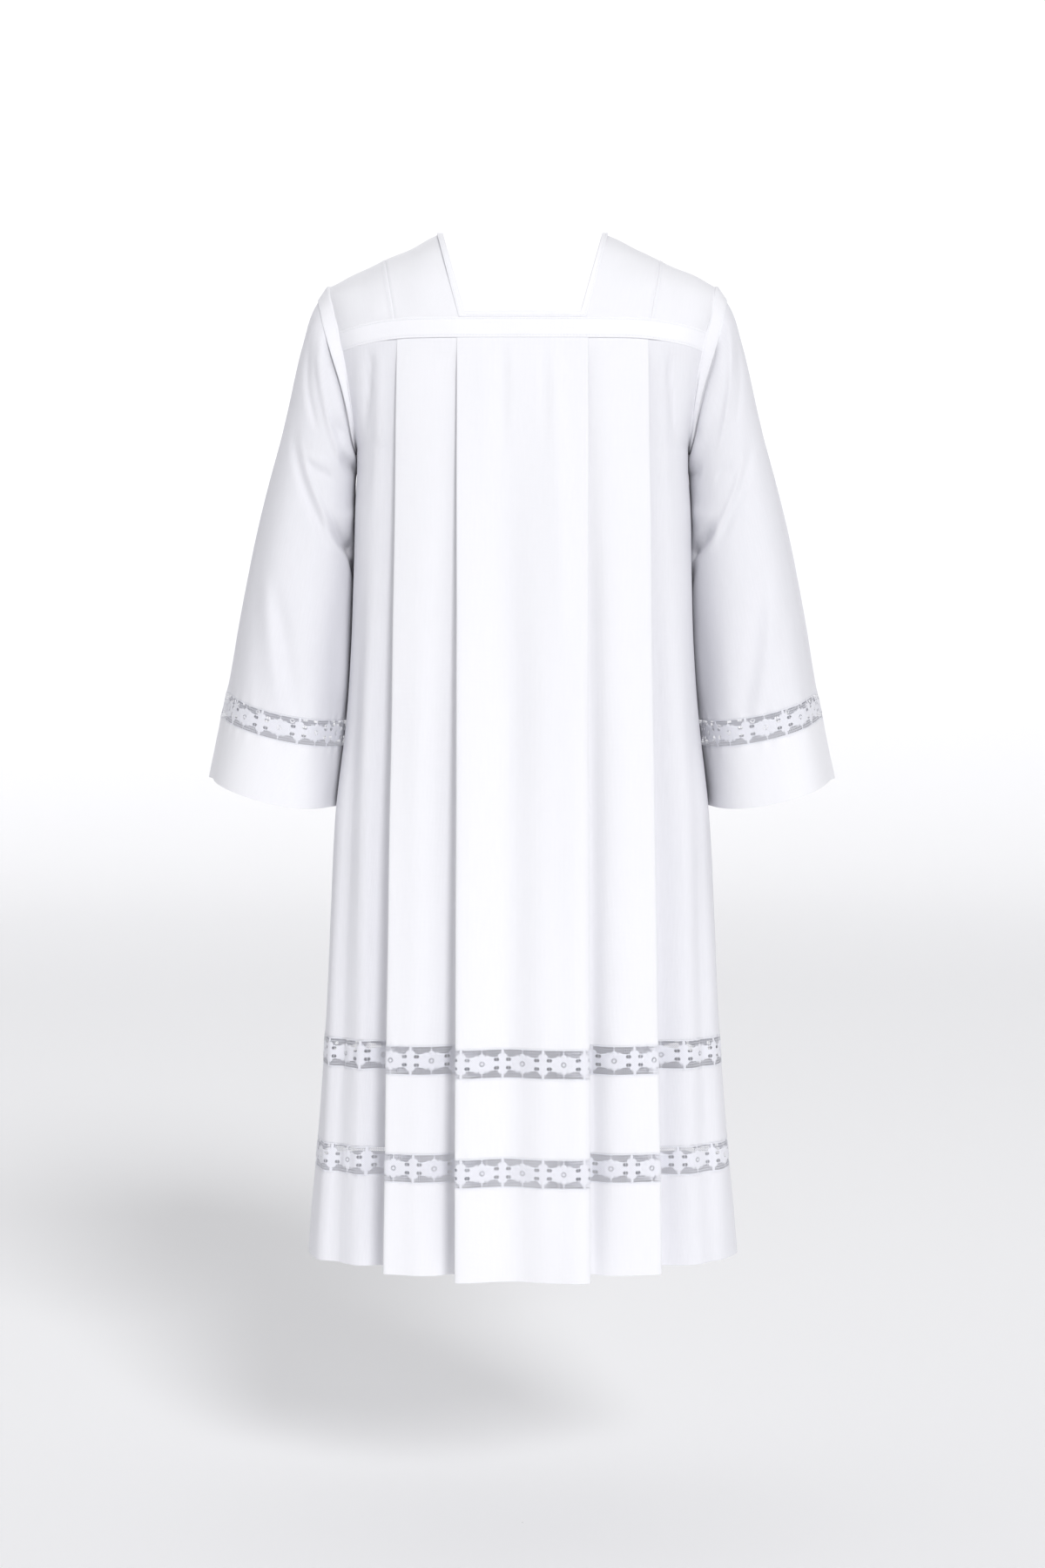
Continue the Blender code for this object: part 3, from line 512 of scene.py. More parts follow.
def woven_cloth(name, light, shade):
    """Material of the plain woven poplin in two tones, drawn along its own threads."""
    material = bpy.data.materials.new(name)
    material.use_nodes = True
    shader = set_shader(material, {"IOR": POPLIN_IOR, "Sheen Weight": POPLIN_SHEEN,
                                   "Sheen Roughness": POPLIN_SHEEN_ROUGHNESS,
                                   "Sheen Tint": linear(POPLIN_WHITE)})
    links = material.node_tree.links
    threads = add_node(material, "ShaderNodeUVMap", {"uv_map": "threads"}).outputs["UV"]
    # a wave's band is 0.314 of a unit wide at scale 1, so this spaces the threads
    turns = math.pi / 10 / WEAVE_SPACING
    waves = [add_node(material, "ShaderNodeTexWave",
                      {"bands_direction": way, "Scale": turns, "Distortion": 0.6, "Detail": 1.0},
                      [("Vector", threads)]).outputs["Fac"] for way in ("X", "Y")]
    weave = add_node(material, "ShaderNodeMath", {"operation": "MULTIPLY"})
    links.new(waves[0], weave.inputs[0])
    links.new(waves[1], weave.inputs[1])
    stretched = add_node(material, "ShaderNodeMapping",
                         {"Scale": (1 / SLUB_SPACING, 1 / SLUB_LENGTH, 1.0)}, [("Vector", threads)])
    slubs = add_node(material, "ShaderNodeTexNoise", {"Scale": 1.0, "Detail": 2.0},
                     [("Vector", stretched.outputs["Vector"])])
    rumple = add_node(material, "ShaderNodeTexNoise", {"Scale": 26.0, "Detail": 3.0},
                      [("Vector", threads)])
    mixed = add_node(material, "ShaderNodeMath", {"operation": "MULTIPLY_ADD"})
    links.new(slubs.outputs["Fac"], mixed.inputs[0])
    mixed.inputs[1].default_value = 0.02
    links.new(rumple.outputs["Fac"], mixed.inputs[2])
    ramp = add_node(material, "ShaderNodeValToRGB", {}, [("Fac", slubs.outputs["Fac"])])
    ramp.color_ramp.elements[0].position, ramp.color_ramp.elements[0].color = 0.35, linear(shade)
    ramp.color_ramp.elements[1].position, ramp.color_ramp.elements[1].color = 0.65, linear(light)
    links.new(ramp.outputs["Color"], shader.inputs["Base Color"])
    rough = add_node(material, "ShaderNodeMapRange",
                     {"To Min": POPLIN_ROUGHNESS - 0.06, "To Max": POPLIN_ROUGHNESS + 0.08},
                     [("Value", rumple.outputs["Fac"])])
    links.new(rough.outputs["Result"], shader.inputs["Roughness"])
    fine = add_node(material, "ShaderNodeBump", {"Strength": POPLIN_RELIEF, "Distance": 0.0002},
                    [("Height", weave.outputs["Value"])])
    broad = add_node(material, "ShaderNodeBump", {"Strength": 0.30, "Distance": 0.0015},
                     [("Height", mixed.outputs["Value"]), ("Normal", fine.outputs["Normal"])])
    links.new(broad.outputs["Normal"], shader.inputs["Normal"])
    return material


poplin = woven_cloth("bleached_poplin", POPLIN_WHITE, POPLIN_SHADE)
# The one-layer tone is single cloth and painted shade together
one_layer_poplin_painted_shade = woven_cloth("bleached_poplin_single_ply_painted_shade", ONE_LAYER_PAINTED_SHADE_LIGHT, ONE_LAYER_PAINTED_SHADE_DARK)
folded_poplin = woven_cloth("bleached_poplin_folded", FOLDED_WHITE, FOLDED_SHADE)

# A panel's cloth runs up under the yoke band, and is turned under along the lace below it.
UNDER_BAND, UNDER_LACE = 0.006, 0.0016
LACE_EDGE_STEPS = (0.0006, 0.0014, 0.0025, 0.0045)


def sink_under_lace(rows, sign, top=False, foot=False):
    """Add the strip of cloth that lies behind the lace's edge, a cloth's thickness further in."""
    inward = normals_of(rows) * -sign * SEAM_TURN
    parts = [rows]
    if top:
        over = rows[0] + inward[0] + (0.0, 0.0, UNDER_LACE)
        parts = [over[None], (rows[0] + inward[0])[None]] + parts
    if foot:
        under = rows[-1] + inward[-1] - (0.0, 0.0, UNDER_LACE)
        parts = parts + [(rows[-1] + inward[-1])[None], under[None]]
    return np.concatenate(parts)


def stretch_threads(threads, top=False, foot=False):
    """Places on the flat cloth for the strips that sink_under_lace adds."""
    reach = np.array([0.0, UNDER_LACE])
    parts = [threads]
    if top:
        parts = [threads[:1] + reach, threads[:1]] + parts
    if foot:
        parts = parts + [threads[-1:], threads[-1:] - reach]
    return np.concatenate(parts)


def body_strip(name, side, levels, nodes, top=False, foot=False, hem_depth=0.0):
    """One of the strips that the body is made of, from side seam to side seam."""
    rows, threads = body_rows(side, levels)
    if hem_depth:
        start = next(k for k, z in enumerate(levels) if z <= levels[-1] + hem_depth)
        rows, threads = with_turning(rows, threads, HEM_THICKNESS, start, side)
    rows = sink_under_lace(rows, side, top, foot)
    threads = stretch_threads(threads, top, foot)
    mesh = sheet_mesh(name, rows, threads, flip=side == FRONT)
    piece = add_piece(name, mesh, poplin, nodes)
    # The side panels beyond the outer folds take the greyer one-layer tone: single cloth, and painted
    # shade beside the sleeves
    mesh.materials.append(one_layer_poplin_painted_shade)
    one_layer_shaded_faces = (np.abs(body_columns()[1:]) > RUN_ENDS[6]).astype(int)
    mesh.polygons.foreach_set("material_index", np.tile(one_layer_shaded_faces, len(rows) - 1))
    return piece


for side, word in ((BACK, "back"), (FRONT, "front")):
    top = BAND_TOP_Z[side] - BAND_WIDTH + UNDER_BAND
    levels = levels_between(top, UPPER_LACE[0], (0.003, 0.003, 0.004), LACE_EDGE_STEPS)
    body_strip(f"pleated_panel_{word}", side, levels, [f"{word}_panel"], foot=True)

# ---- Yoke bands ----
# A straight strip of the same cloth across the back and one across the chest, folded under
# at both long edges and stitched down over the heads of the pleats and the feet of the straps.
BAND_LIFT, BAND_ROLL = 0.0009, 0.0013
STITCH_INSET, STITCH_SINK, GROOVE_REACH = 0.0026, 0.0004, 0.0009
# How far the band runs on past the armhole, and how much longer it is than its breadth, as it
# goes round the body
BAND_REACH, BAND_ROUND = 0.0012, 1.12
BAND_RIPPLE, BAND_HELD_EDGE = 0.0004, 0.008
BINDING_WIDTH = 0.006
NECK_BOTTOM_X = 0.067
NECK_TOP_X = 0.094


def over_ring(x, z, side, lift):
    """Points of the yoke's band level, a little way off the pleats' heads."""
    level = z - band_drop(x)
    width = np.array([ring_half_width(v, side) for v in np.ravel(level)]).reshape(np.shape(level))
    depth = ring_depth(level, side)
    y = ring_y(x, width, depth) + band_swell(x) + lift
    return np.stack([x, side * y, level], axis=-1)


def band_rows(side, drops, lifts, columns=121):
    """Rows across the band at depths below its top edge, each with its own lift."""
    rows, threads = [], []
    for drop, lift in zip(drops, lifts):
        z = BAND_TOP_Z[side] - drop
        end = armhole_at(z - BAND_DROP)[0] + BAND_REACH
        x = np.linspace(-end, end, columns)
        rows.append(over_ring(x, np.full(columns, z), side, lift + band_slack(x, drop, side)))
        threads.append(np.stack([x * BAND_ROUND, np.full(columns, z)], axis=-1))
    return np.stack(rows), np.stack(threads)


def band_slack(x, drop, side):
    """The band's slight ripple between its two rows of stitches."""
    free = np.clip(min(drop, BAND_WIDTH - drop) / BAND_HELD_EDGE, 0, 1)
    return free * BAND_RIPPLE * (np.sin(x * 97 + side) + np.sin(x * 61 + 2.0))


def rolled_profile(width, lift, roll, steps):
    """Depths and lifts of a strip whose two long edges are folded under."""
    half_turn = np.linspace(0, math.pi / 2, 4)
    rim = lift - (lift + PRESSED_STEP) * (1 - np.cos(half_turn))
    drops = list(roll * (1 - np.sin(half_turn[::-1])) * 0.9)
    lifts = list(rim[::-1])
    inner = np.linspace(roll, width - roll, steps)[1:-1]
    grooves = [STITCH_SINK * math.exp(-((min(d, width - d) - STITCH_INSET) / GROOVE_REACH) ** 2)
               for d in inner]
    drops += list(inner)
    lifts += [lift - g for g in grooves]
    drops += list(width - roll * (1 - np.sin(half_turn)) * 0.9)
    lifts += list(rim)
    return np.array(drops), np.array(lifts)


# The sewing thread is spun white polyester, in a lockstitch. It is drawn 0.42 mm thick, with
# stitches of 2.6 mm and gaps of 1 mm between them, and each stitch dips into the cloth at its ends.
# Its twist is drawn as slanted bands whose grooves are painted darker as shade.
THREAD_THICKNESS, STITCH_LENGTH, STITCH_GAP = 0.00042, 0.0026, 0.0010
THREAD_WHITE, THREAD_SHADE, TWIST_SPACING = "#F1F2F6", "#DFE1EA", 0.0005
thread_white = bpy.data.materials.new("spun_polyester_thread")
thread_white.use_nodes = True
thread_shader = set_shader(thread_white, {"Roughness": 0.45, "IOR": 1.53, "Sheen Weight": 0.3})
twist = add_node(thread_white, "ShaderNodeTexWave",
                 {"bands_direction": "DIAGONAL", "Scale": math.pi / 10 / TWIST_SPACING, "Distortion": 1.0},
                 [("Vector", add_node(thread_white, "ShaderNodeUVMap",
                                      {"uv_map": "threads"}).outputs["UV"])])
# Painted shade: the ramp darkens the grooves of the twist
twist_groove_shade_ramp = add_node(thread_white, "ShaderNodeValToRGB", {}, [("Fac", twist.outputs["Fac"])])
twist_groove_shade_ramp.color_ramp.elements[0].color = linear(THREAD_SHADE)
twist_groove_shade_ramp.color_ramp.elements[1].color = linear(THREAD_WHITE)
thread_white.node_tree.links.new(twist_groove_shade_ramp.outputs["Color"], thread_shader.inputs["Base Color"])
twist_bump = add_node(thread_white, "ShaderNodeBump", {"Strength": 0.6, "Distance": 0.0001},
                      [("Height", twist.outputs["Fac"])])
thread_white.node_tree.links.new(twist_bump.outputs["Normal"], thread_shader.inputs["Normal"])
STITCHES = []


def cut_of(rows, closed=False):
    """Widest and longest of a sheet along its cloth, measured all round where it is a tube."""
    if closed:
        rows = np.concatenate([rows, rows[:, :1]], axis=1)
    wide = np.linalg.norm(np.diff(rows, axis=1), axis=2).sum(axis=1).max()
    tall = np.linalg.norm(np.diff(rows, axis=0), axis=2).sum(axis=0).max()
    return float(wide), float(tall)


def cloth_area(mesh):
    """Area of a sheet's cloth, in square metres."""
    return float(sum(face.area for face in mesh.polygons))


def stitch_row(points, normals):
    """Remember a row of stitches along a line on the cloth."""
    steps = np.linalg.norm(np.diff(points, axis=0), axis=1)
    length = np.concatenate(([0.0], np.cumsum(steps)))
    starts = np.arange(STITCH_GAP, length[-1] - STITCH_LENGTH, STITCH_LENGTH + STITCH_GAP)

    def read(table, at):
        return np.stack([np.interp(at, length, table[:, k]) for k in range(3)], axis=1)

    for share, rise in ((0.0, -0.6), (0.22, 0.25), (0.78, 0.25), (1.0, -0.6)):
        at = starts + STITCH_LENGTH * share
        up = read(normals, at)
        up /= np.linalg.norm(up, axis=1, keepdims=True)
        along = read(points, at + 0.0005) - read(points, at - 0.0005)
        along /= np.linalg.norm(along, axis=1, keepdims=True)
        STITCHES.append((share, read(points, at) + up * rise * THREAD_THICKNESS, up, np.cross(up, along)))


def add_stitches(name):
    """Make one piece of all the stitches remembered since the last one."""
    corners = ((0.5, 0.0), (0.0, 0.42), (-0.5, 0.0), (0.0, -0.42))
    points, faces, places = [], [], []
    for k in range(0, len(STITCHES), 4):
        tip, near, far, end = STITCHES[k:k + 4]
        for n in range(len(tip[1])):
            first = len(points)
            points.append(tip[1][n])
            for share, centre, up, over in (near, far):
                points += [centre[n] + (over[n] * a + up[n] * b) * THREAD_THICKNESS for a, b in corners]
            points.append(end[1][n])
            places += [(0.0, 0.0)] + [(c * 0.0003, row * STITCH_LENGTH * 0.5)
                                      for row in (1, 2) for c in range(4)] + [(0.0, STITCH_LENGTH)]
            for c in range(4):
                a, b = first + 1 + c, first + 1 + (c + 1) % 4
                faces += [(first, b, a), (a, b, b + 4, a + 4), (a + 4, b + 4, first + 9)]
    STITCHES.clear()
    mesh = bpy.data.meshes.new(name)
    mesh.from_pydata([tuple(p) for p in points], [], faces)
    layer = mesh.uv_layers.new(name="threads")
    corner_points = np.empty(len(mesh.loops), dtype=int)
    mesh.loops.foreach_get("vertex_index", corner_points)
    layer.data.foreach_set("uv", np.array(places, dtype=float)[corner_points].reshape(-1))
    mesh.shade_smooth()
    return add_piece(name, mesh, thread_white, [])


for side, word in ((BACK, "back"), (FRONT, "front")):
    drops, lifts = rolled_profile(BAND_WIDTH, BAND_LIFT, BAND_ROLL, 34)
    rows, threads = band_rows(side, drops, lifts)
    mesh = sheet_mesh(f"yoke_strip_{word}", rows, threads, flip=side == FRONT)
    strip = add_piece(f"yoke_strip_{word}", mesh, folded_poplin, [f"yoke_band_{word}"])
    cut_of(rows)
    cloth_area(mesh)
    for inset in (STITCH_INSET, BAND_WIDTH - STITCH_INSET):
        line, _ = band_rows(side, [inset, inset + 0.001], [BAND_LIFT - STITCH_SINK + 0.0001] * 2, 361)
        stitch_row(line[0], normals_of(line)[0] * side)
    add_stitches(f"yoke_stitches_{word}")

# ---- Straps and shoulder pieces ----
# Two straps run beside the neck from the front band over the shoulders to the back band. A
# shoulder piece joins each to its armhole with a lapped seam, pressed towards the armhole.
STRAP_TOP_X, STRAP_BOTTOM_X = 0.161, 0.148
YOKE_STEPS = 34
# At the seam, the strap's edge runs on under the shoulder piece's folded edge. Each place is a
# share across the yoke, with how far the cloth is lifted there in parts of the seam's ridge.
SEAM_RIDGE, SEAM_STITCH_SHARE = 0.0005, 1.045
STRAP_LAP = ((0.992, -1.2), (1.0, -1.6), (1.035, -1.8))
SHOULDER_LAP = ((0.996, -1.5), (0.9985, 0.4), (1.003, 0.9), (1.012, 1.1), (1.02, 0.9), (1.05, 0.8),
                (1.065, 0.4), (1.08, 0.1))


def shoulder_arch(way, side):
    """How far down and how far out the arch over the shoulder is, from 0 at its ridge to 1."""
    down = 1 - math.cos(way * math.pi / 2)
    band_z = BAND_TOP_Z[side] - BAND_DROP
    at_z = ARMHOLE.outer_z + (band_z - ARMHOLE.outer_z) * down
    return down, armhole_at(at_z)[1] / armhole_at(band_z)[1], at_z


def yoke_x(share, way, side):
    """X of the yoke at a share across it: 0 at the neck, 1 at the strap's seam, 2 at the armhole."""
    down, _, at_z = shoulder_arch(way, side)
    seam = STRAP_TOP_X + (STRAP_BOTTOM_X - STRAP_TOP_X) * down
    neck = NECK_TOP_X + (NECK_BOTTOM_X - NECK_TOP_X) * down
    if share <= 1:
        return neck + (seam - neck) * share
    return seam + (armhole_at(at_z)[0] - seam) * (share - 1)


def yoke_point(share, way, side, inset=0.0):
    """Point of the left strap or shoulder, from the ridge to the yoke band on one side."""
    down, out, _ = shoulder_arch(way, side)
    ridge_x = yoke_x(share, 0.0, side)
    ridge_z = ARMHOLE.outer_z * (ridge_x - NECK_TOP_X) / (ARMHOLE.outer_x - NECK_TOP_X)
    foot = over_ring(np.array(yoke_x(share, 1.0, side)), np.array(BAND_TOP_Z[side]), side, 0.0)
    x = yoke_x(share, way, side) + inset
    return np.array([x, foot[1] * out, ridge_z + (foot[2] - ridge_z) * down])


def yoke_grid(shares, mirror):
    """Rows over the shoulder from the front band to the back one, each foot under its band."""
    ways = np.linspace(0, 1, YOKE_STEPS + 1)
    order = [(way, FRONT) for way in ways[:0:-1]] + [(way, BACK) for way in ways]
    rows = np.array([[yoke_point(share, way, side) for share in shares] for way, side in order])
    under = (0.0, 0.0, -UNDER_BAND)
    rows = np.concatenate([rows[:1] + under, rows, rows[-1:] + under])
    return rows * (mirror, 1.0, 1.0)


def yoke_threads(rows):
    """Each point's place on the flat cloth, by the lengths of its row and its column."""
    over = np.linalg.norm(np.diff(rows, axis=1), axis=2).cumsum(axis=1)
    down = np.linalg.norm(np.diff(rows, axis=0), axis=2).cumsum(axis=0)
    across = np.concatenate([np.zeros((len(rows), 1)), over], axis=1)
    along = np.concatenate([np.zeros((1, rows.shape[1])), down], axis=0)
    return np.stack([across, along], axis=-1)


def yoke_swell(rows, shares, mirror):
    """Lift the cloth off the shoulder in soft rolls that run from the neck to the armhole."""
    normals = normals_of(rows) * mirror
    step = np.linspace(-1, 1, len(rows))[:, None]
    share = np.array(shares)[None, :]
    held = ease((1 - np.abs(step)) / 0.12)
    rise = (0.0006 * np.sin(share * 5.3 + step * 6.0 + mirror) + 0.0005 * np.sin(share * 9.1 - step * 4.0)
            + 0.0002 * np.sin(step * 19 + share * 3))
    return rows + normals * (rise * held)[..., None]


for mirror, word in ((WEARER_LEFT, "left"), (WEARER_RIGHT, "right")):
    for part, lap, clear in (("strap", STRAP_LAP, np.linspace(0.06, 0.98, 19)),
                             ("shoulder", SHOULDER_LAP, np.linspace(1.12, 1.985, 17))):
        shares, lifts = zip(*sorted([*lap, *((share, 0.0) for share in clear)]))
        rows = yoke_swell(yoke_grid(shares, mirror), shares, mirror)
        rows += normals_of(rows) * mirror * SEAM_RIDGE * np.array(lifts)[None, :, None]
        mesh = sheet_mesh(f"{part}_piece_{word}", rows, yoke_threads(rows), flip=mirror < 0)
        piece = add_piece(f"{part}_piece_{word}", mesh, poplin, [f"{part}_{word}"])
        cut_of(rows)
        cloth_area(mesh)
    shares = [SEAM_STITCH_SHARE, SEAM_STITCH_SHARE + 0.01]
    line = yoke_swell(yoke_grid(shares, mirror), shares, mirror)
    up = normals_of(line) * mirror
    stitch_row(line[1:-1, 0] + up[1:-1, 0] * SEAM_RIDGE * 0.9, up[1:-1, 0])
    add_stitches(f"shoulder_stitches_{word}")

# ---- Neck binding ----
# A strip of the same cloth folded in four round the raw edge of the square neck, mitred at
# its four corners and stitched down flat through the straps and the bands.
BINDING_THICKNESS, BINDING_CUT = 0.0013, 0.010
BINDING_PROFILE = ((0.0, -0.5), (-0.10, 0.0), (0.0, 0.36), (0.10, 0.50), (0.28, 0.46), (0.50, 0.34),
                   (0.74, 0.46), (0.92, 0.50), (1.02, 0.30), (1.04, -0.1), (1.0, -0.5))


def neck_path():
    """Inner and outer edges of the binding, all round the neck."""
    ways = np.linspace(0, 1, 25)
    pairs = []
    for mirror, near, far in ((1.0, BACK, FRONT), (-1.0, FRONT, BACK)):
        for side, order in ((near, ways[::-1]), (far, ways[1:])):
            for way in order:
                edge = yoke_point(0.0, way, side)
                inner = edge + (0.0, 0.0, BINDING_WIDTH * way ** 2)
                outer = edge + (BINDING_WIDTH, 0.0, 0.0)
                pairs.append((inner * (mirror, 1, 1), outer * (mirror, 1, 1)))
        wide = (NECK_BOTTOM_X + BINDING_WIDTH) / NECK_BOTTOM_X
        for x in np.linspace(NECK_BOTTOM_X, -NECK_BOTTOM_X, 34)[1:-1] * mirror:
            top = np.array(BAND_TOP_Z[far])
            pairs.append((over_ring(np.array(x), top + BINDING_WIDTH, far, 0.0),
                          over_ring(np.array(x * wide), top, far, 0.0)))
    return np.array(pairs)


pairs = neck_path()
across = pairs[:, 1] - pairs[:, 0]
along = np.roll(pairs[:, 0] + pairs[:, 1], -1, axis=0) - np.roll(pairs[:, 0] + pairs[:, 1], 1, axis=0)
up = np.cross(across, along)
up /= np.linalg.norm(up, axis=1, keepdims=True)
up *= np.sign(np.sum(up * (pairs.mean(axis=1) - (0.0, 0.0, -0.25)), axis=1))[:, None]
ripple = 1 + 0.10 * np.sin(np.arange(len(pairs)) * 1.3)[:, None]
rows = np.stack([pairs[:, 0] + across * a + up * (b + 0.30) * BINDING_THICKNESS * ripple
                 for a, b in BINDING_PROFILE])
round_neck = np.linalg.norm(np.diff(pairs.mean(axis=1), axis=0), axis=1).cumsum()
round_neck = np.concatenate([[0.0], round_neck])
threads = np.stack([np.tile(round_neck, (len(rows), 1)),
                    np.tile(np.arange(len(rows))[:, None] * 0.0009, (1, len(pairs)))], axis=-1)
mesh = sheet_mesh("neck_strip", rows, threads, closed=True, flip=True)
neck_strip = add_piece("neck_strip", mesh, folded_poplin, ["neck_binding"])
cloth_area(mesh)
stitch_line = pairs[:, 0] + across * 0.72 + up * 0.80 * BINDING_THICKNESS
stitch_row(stitch_line, up)
add_stitches("neck_stitches")

# ---- Armhole bands and sleeves ----
# Each sleeve is one flared piece, set into its armhole with a narrow stitched band round its
# head, and closed by an underarm seam. It hangs in diagonal folds from the band to the elbow.
BAND_END, SLEEVE_LACE, CUFF_END = 0.022, (0.493, 0.525), 0.596
ARMHOLE_GAP_TOP, ARMHOLE_GAP_SLOPE = 0.0004, 0.0012
Wave = namedtuple("Wave", "place width rise")
SLEEVE_WAVES = (
    Wave(0.13, 0.045, -0.0045), Wave(0.25, 0.050, 0.0035), Wave(0.37, 0.045, -0.0060),
    Wave(0.63, 0.045, -0.0055), Wave(0.75, 0.050, 0.0035), Wave(0.88, 0.045, -0.0040),
)

# Folds of a sleeve's back half: from and to a share of the way round it, from its outer line,
# and a distance down it. Widths, rises and bends are in metres.
Fold = namedtuple("Fold", "from_share from_along to_share to_along width rise bend lean")
BACK_FOLDS = {
    WEARER_LEFT: (
        Fold(0.112, 0.006, 0.400, 0.062, 0.0104, 0.0038, 0.0167, 0.2),
        Fold(0.095, 0.034, 0.265, 0.096, 0.0123, -0.0028, 0.0190, 0.0),
        Fold(0.280, 0.060, 0.440, -0.006, 0.0084, -0.0047, 0.0010, 0.0),
        Fold(0.300, 0.074, 0.470, 0.014, 0.0078, 0.0027, 0.0000, 0.0),
        Fold(0.340, 0.073, 0.505, 0.030, 0.0090, -0.0093, -0.0080, 0.0),
        Fold(0.270, 0.180, 0.480, 0.085, 0.0111, 0.0034, 0.0112, 0.2),
        Fold(0.160, 0.146, 0.396, 0.196, 0.0125, 0.0046, 0.0122, 0.3),
        Fold(0.125, 0.144, 0.335, 0.224, 0.0160, -0.0042, 0.0070, -0.2),
        Fold(0.290, 0.198, 0.475, 0.166, 0.0118, -0.0139, 0.0027, -0.3),
        Fold(0.374, 0.180, 0.500, 0.240, 0.0118, -0.0083, -0.0100, 0.0),
        Fold(0.200, 0.170, 0.335, 0.108, 0.0065, -0.0020, 0.0006, 0.0),
        Fold(0.185, 0.166, 0.340, 0.088, 0.0072, 0.0022, 0.0027, 0.1),
        Fold(0.155, 0.325, 0.266, 0.520, 0.0111, 0.0033, -0.0019, 0.2),
        Fold(0.180, 0.320, 0.296, 0.520, 0.0123, -0.0030, -0.0030, 0.0),
        Fold(0.120, 0.330, 0.215, 0.500, 0.0143, -0.0016, -0.0027, 0.0),
        Fold(0.250, 0.290, 0.305, 0.560, 0.0195, 0.0022, -0.0030, 0.0),
        Fold(0.357, 0.240, 0.350, 0.640, 0.0195, -0.0035, 0.0010, 0.0),
        Fold(0.045, 0.080, 0.075, 0.640, 0.0195, -0.0016, 0.0060, 0.0),
        Fold(-0.004, 0.140, 0.012, 0.700, 0.0130, 0.0030, 0.0040, 0.2),
        Fold(0.420, 0.300, 0.430, 0.680, 0.0169, 0.0020, 0.0000, 0.0),
    ),
    WEARER_RIGHT: (
        Fold(0.062, -0.004, 0.310, 0.094, 0.0111, 0.0034, 0.0101, 0.2),
        Fold(0.074, 0.040, 0.235, 0.124, 0.0130, -0.0023, 0.0057, 0.0),
        Fold(0.345, 0.032, 0.430, -0.004, 0.0072, -0.0030, 0.0000, 0.0),
        Fold(0.366, 0.076, 0.486, 0.036, 0.0078, -0.0038, -0.0037, 0.0),
        Fold(0.320, 0.119, 0.226, 0.158, 0.0065, -0.0023, 0.0003, 0.0),
        Fold(0.290, 0.188, 0.460, 0.085, 0.0111, 0.0032, 0.0063, 0.2),
        Fold(0.170, 0.152, 0.385, 0.208, 0.0130, 0.0040, 0.0149, 0.3),
        Fold(0.135, 0.154, 0.335, 0.224, 0.0150, -0.0039, 0.0075, -0.2),
        Fold(0.305, 0.200, 0.470, 0.184, 0.0118, -0.0134, -0.0060, -0.3),
        Fold(0.395, 0.196, 0.505, 0.262, 0.0130, -0.0041, -0.0060, 0.0),
        Fold(0.175, 0.325, 0.276, 0.520, 0.0117, 0.0029, -0.0003, 0.2),
        Fold(0.200, 0.305, 0.300, 0.520, 0.0130, -0.0023, -0.0002, 0.0),
        Fold(0.300, 0.300, 0.325, 0.580, 0.0182, 0.0020, 0.0000, 0.0),
        Fold(0.400, 0.260, 0.375, 0.640, 0.0195, -0.0014, 0.0080, 0.0),
        Fold(0.045, 0.110, 0.080, 0.660, 0.0208, -0.0016, 0.0040, 0.0),
        Fold(-0.012, 0.110, 0.000, 0.680, 0.0140, 0.0028, -0.0050, 0.0),
        Fold(0.120, 0.360, 0.150, 0.640, 0.0182, -0.0013, 0.0000, 0.0),
    ),
}


def turned_over(fold):
    """The like fold on a sleeve's front half."""
    return fold._replace(from_share=0.985 - fold.from_share, to_share=0.985 - fold.to_share,
                         rise=fold.rise * 0.9, bend=-fold.bend, lean=-fold.lean)


# Each sleeve's front is much like the other sleeve's back
SLEEVE_FOLDS = {mirror: BACK_FOLDS[mirror] + tuple(turned_over(f) for f in BACK_FOLDS[-mirror])
                for mirror in (WEARER_LEFT, WEARER_RIGHT)}
BAND_TAPER, TAPER_REACH = (0.005, 0.015), 0.060
SLEEVE_COLUMNS, SLEEVE_ROW_STEP = 224, 0.0042
SLEEVE_STEP = 0.004
SLEEVE_PUCKERS, SLEEVE_PUCKER_RISE = 27, 0.0006
# The folds are nearly flat along the underarm seam, over a share of the way round
UNDERARM_CALM, UNDERARM_REACH = 0.85, 0.04
# Towards the cuff the sleeve hangs in shallow flutes
FLUTES, FLUTE_RISE, FLUTE_FROM, FLUTE_GROWTH = 7, 0.0026, 0.30, 0.3
FORM_COLUMNS = 240


def sleeve_form(along):
    """Ring of the left sleeve at even shares of its girth, with its broad waves."""
    ring = sleeve_ring(along)
    centre = ring.mean(axis=0)
    low = (ARMHOLE.outer_z - ring[:, 2]) / (ARMHOLE.outer_z - ARMHOLE.inner_z)
    ring[:, 0] += max(0.0, 1 - along / BAND_END) * (ARMHOLE_GAP_TOP + ARMHOLE_GAP_SLOPE * low)
    shares = np.arange(FORM_COLUMNS + 1) / FORM_COLUMNS
    points = at_shares(ring, shares)
    strength = smooth(along, (0.0, 0.10, 0.30, CUFF_END), (0.0, 0.25, 0.9, 1.0))
    rise = sum(w.rise * np.exp(-((shares - w.place) / w.width) ** 2) for w in SLEEVE_WAVES)
    outward = (points - centre) * (0.5, 1.0, 0.0)
    outward /= np.linalg.norm(outward, axis=1, keepdims=True)
    points += outward * rise[:, None] * strength
    girth = np.linalg.norm(np.diff(ring, axis=0), axis=1).sum()
    return np.concatenate([points, outward, np.full((len(points), 1), girth)], axis=1)


SLEEVE_FORMS = np.stack([sleeve_form(a) for a in np.arange(0.0, CUFF_END + 2 * SLEEVE_STEP, SLEEVE_STEP)])


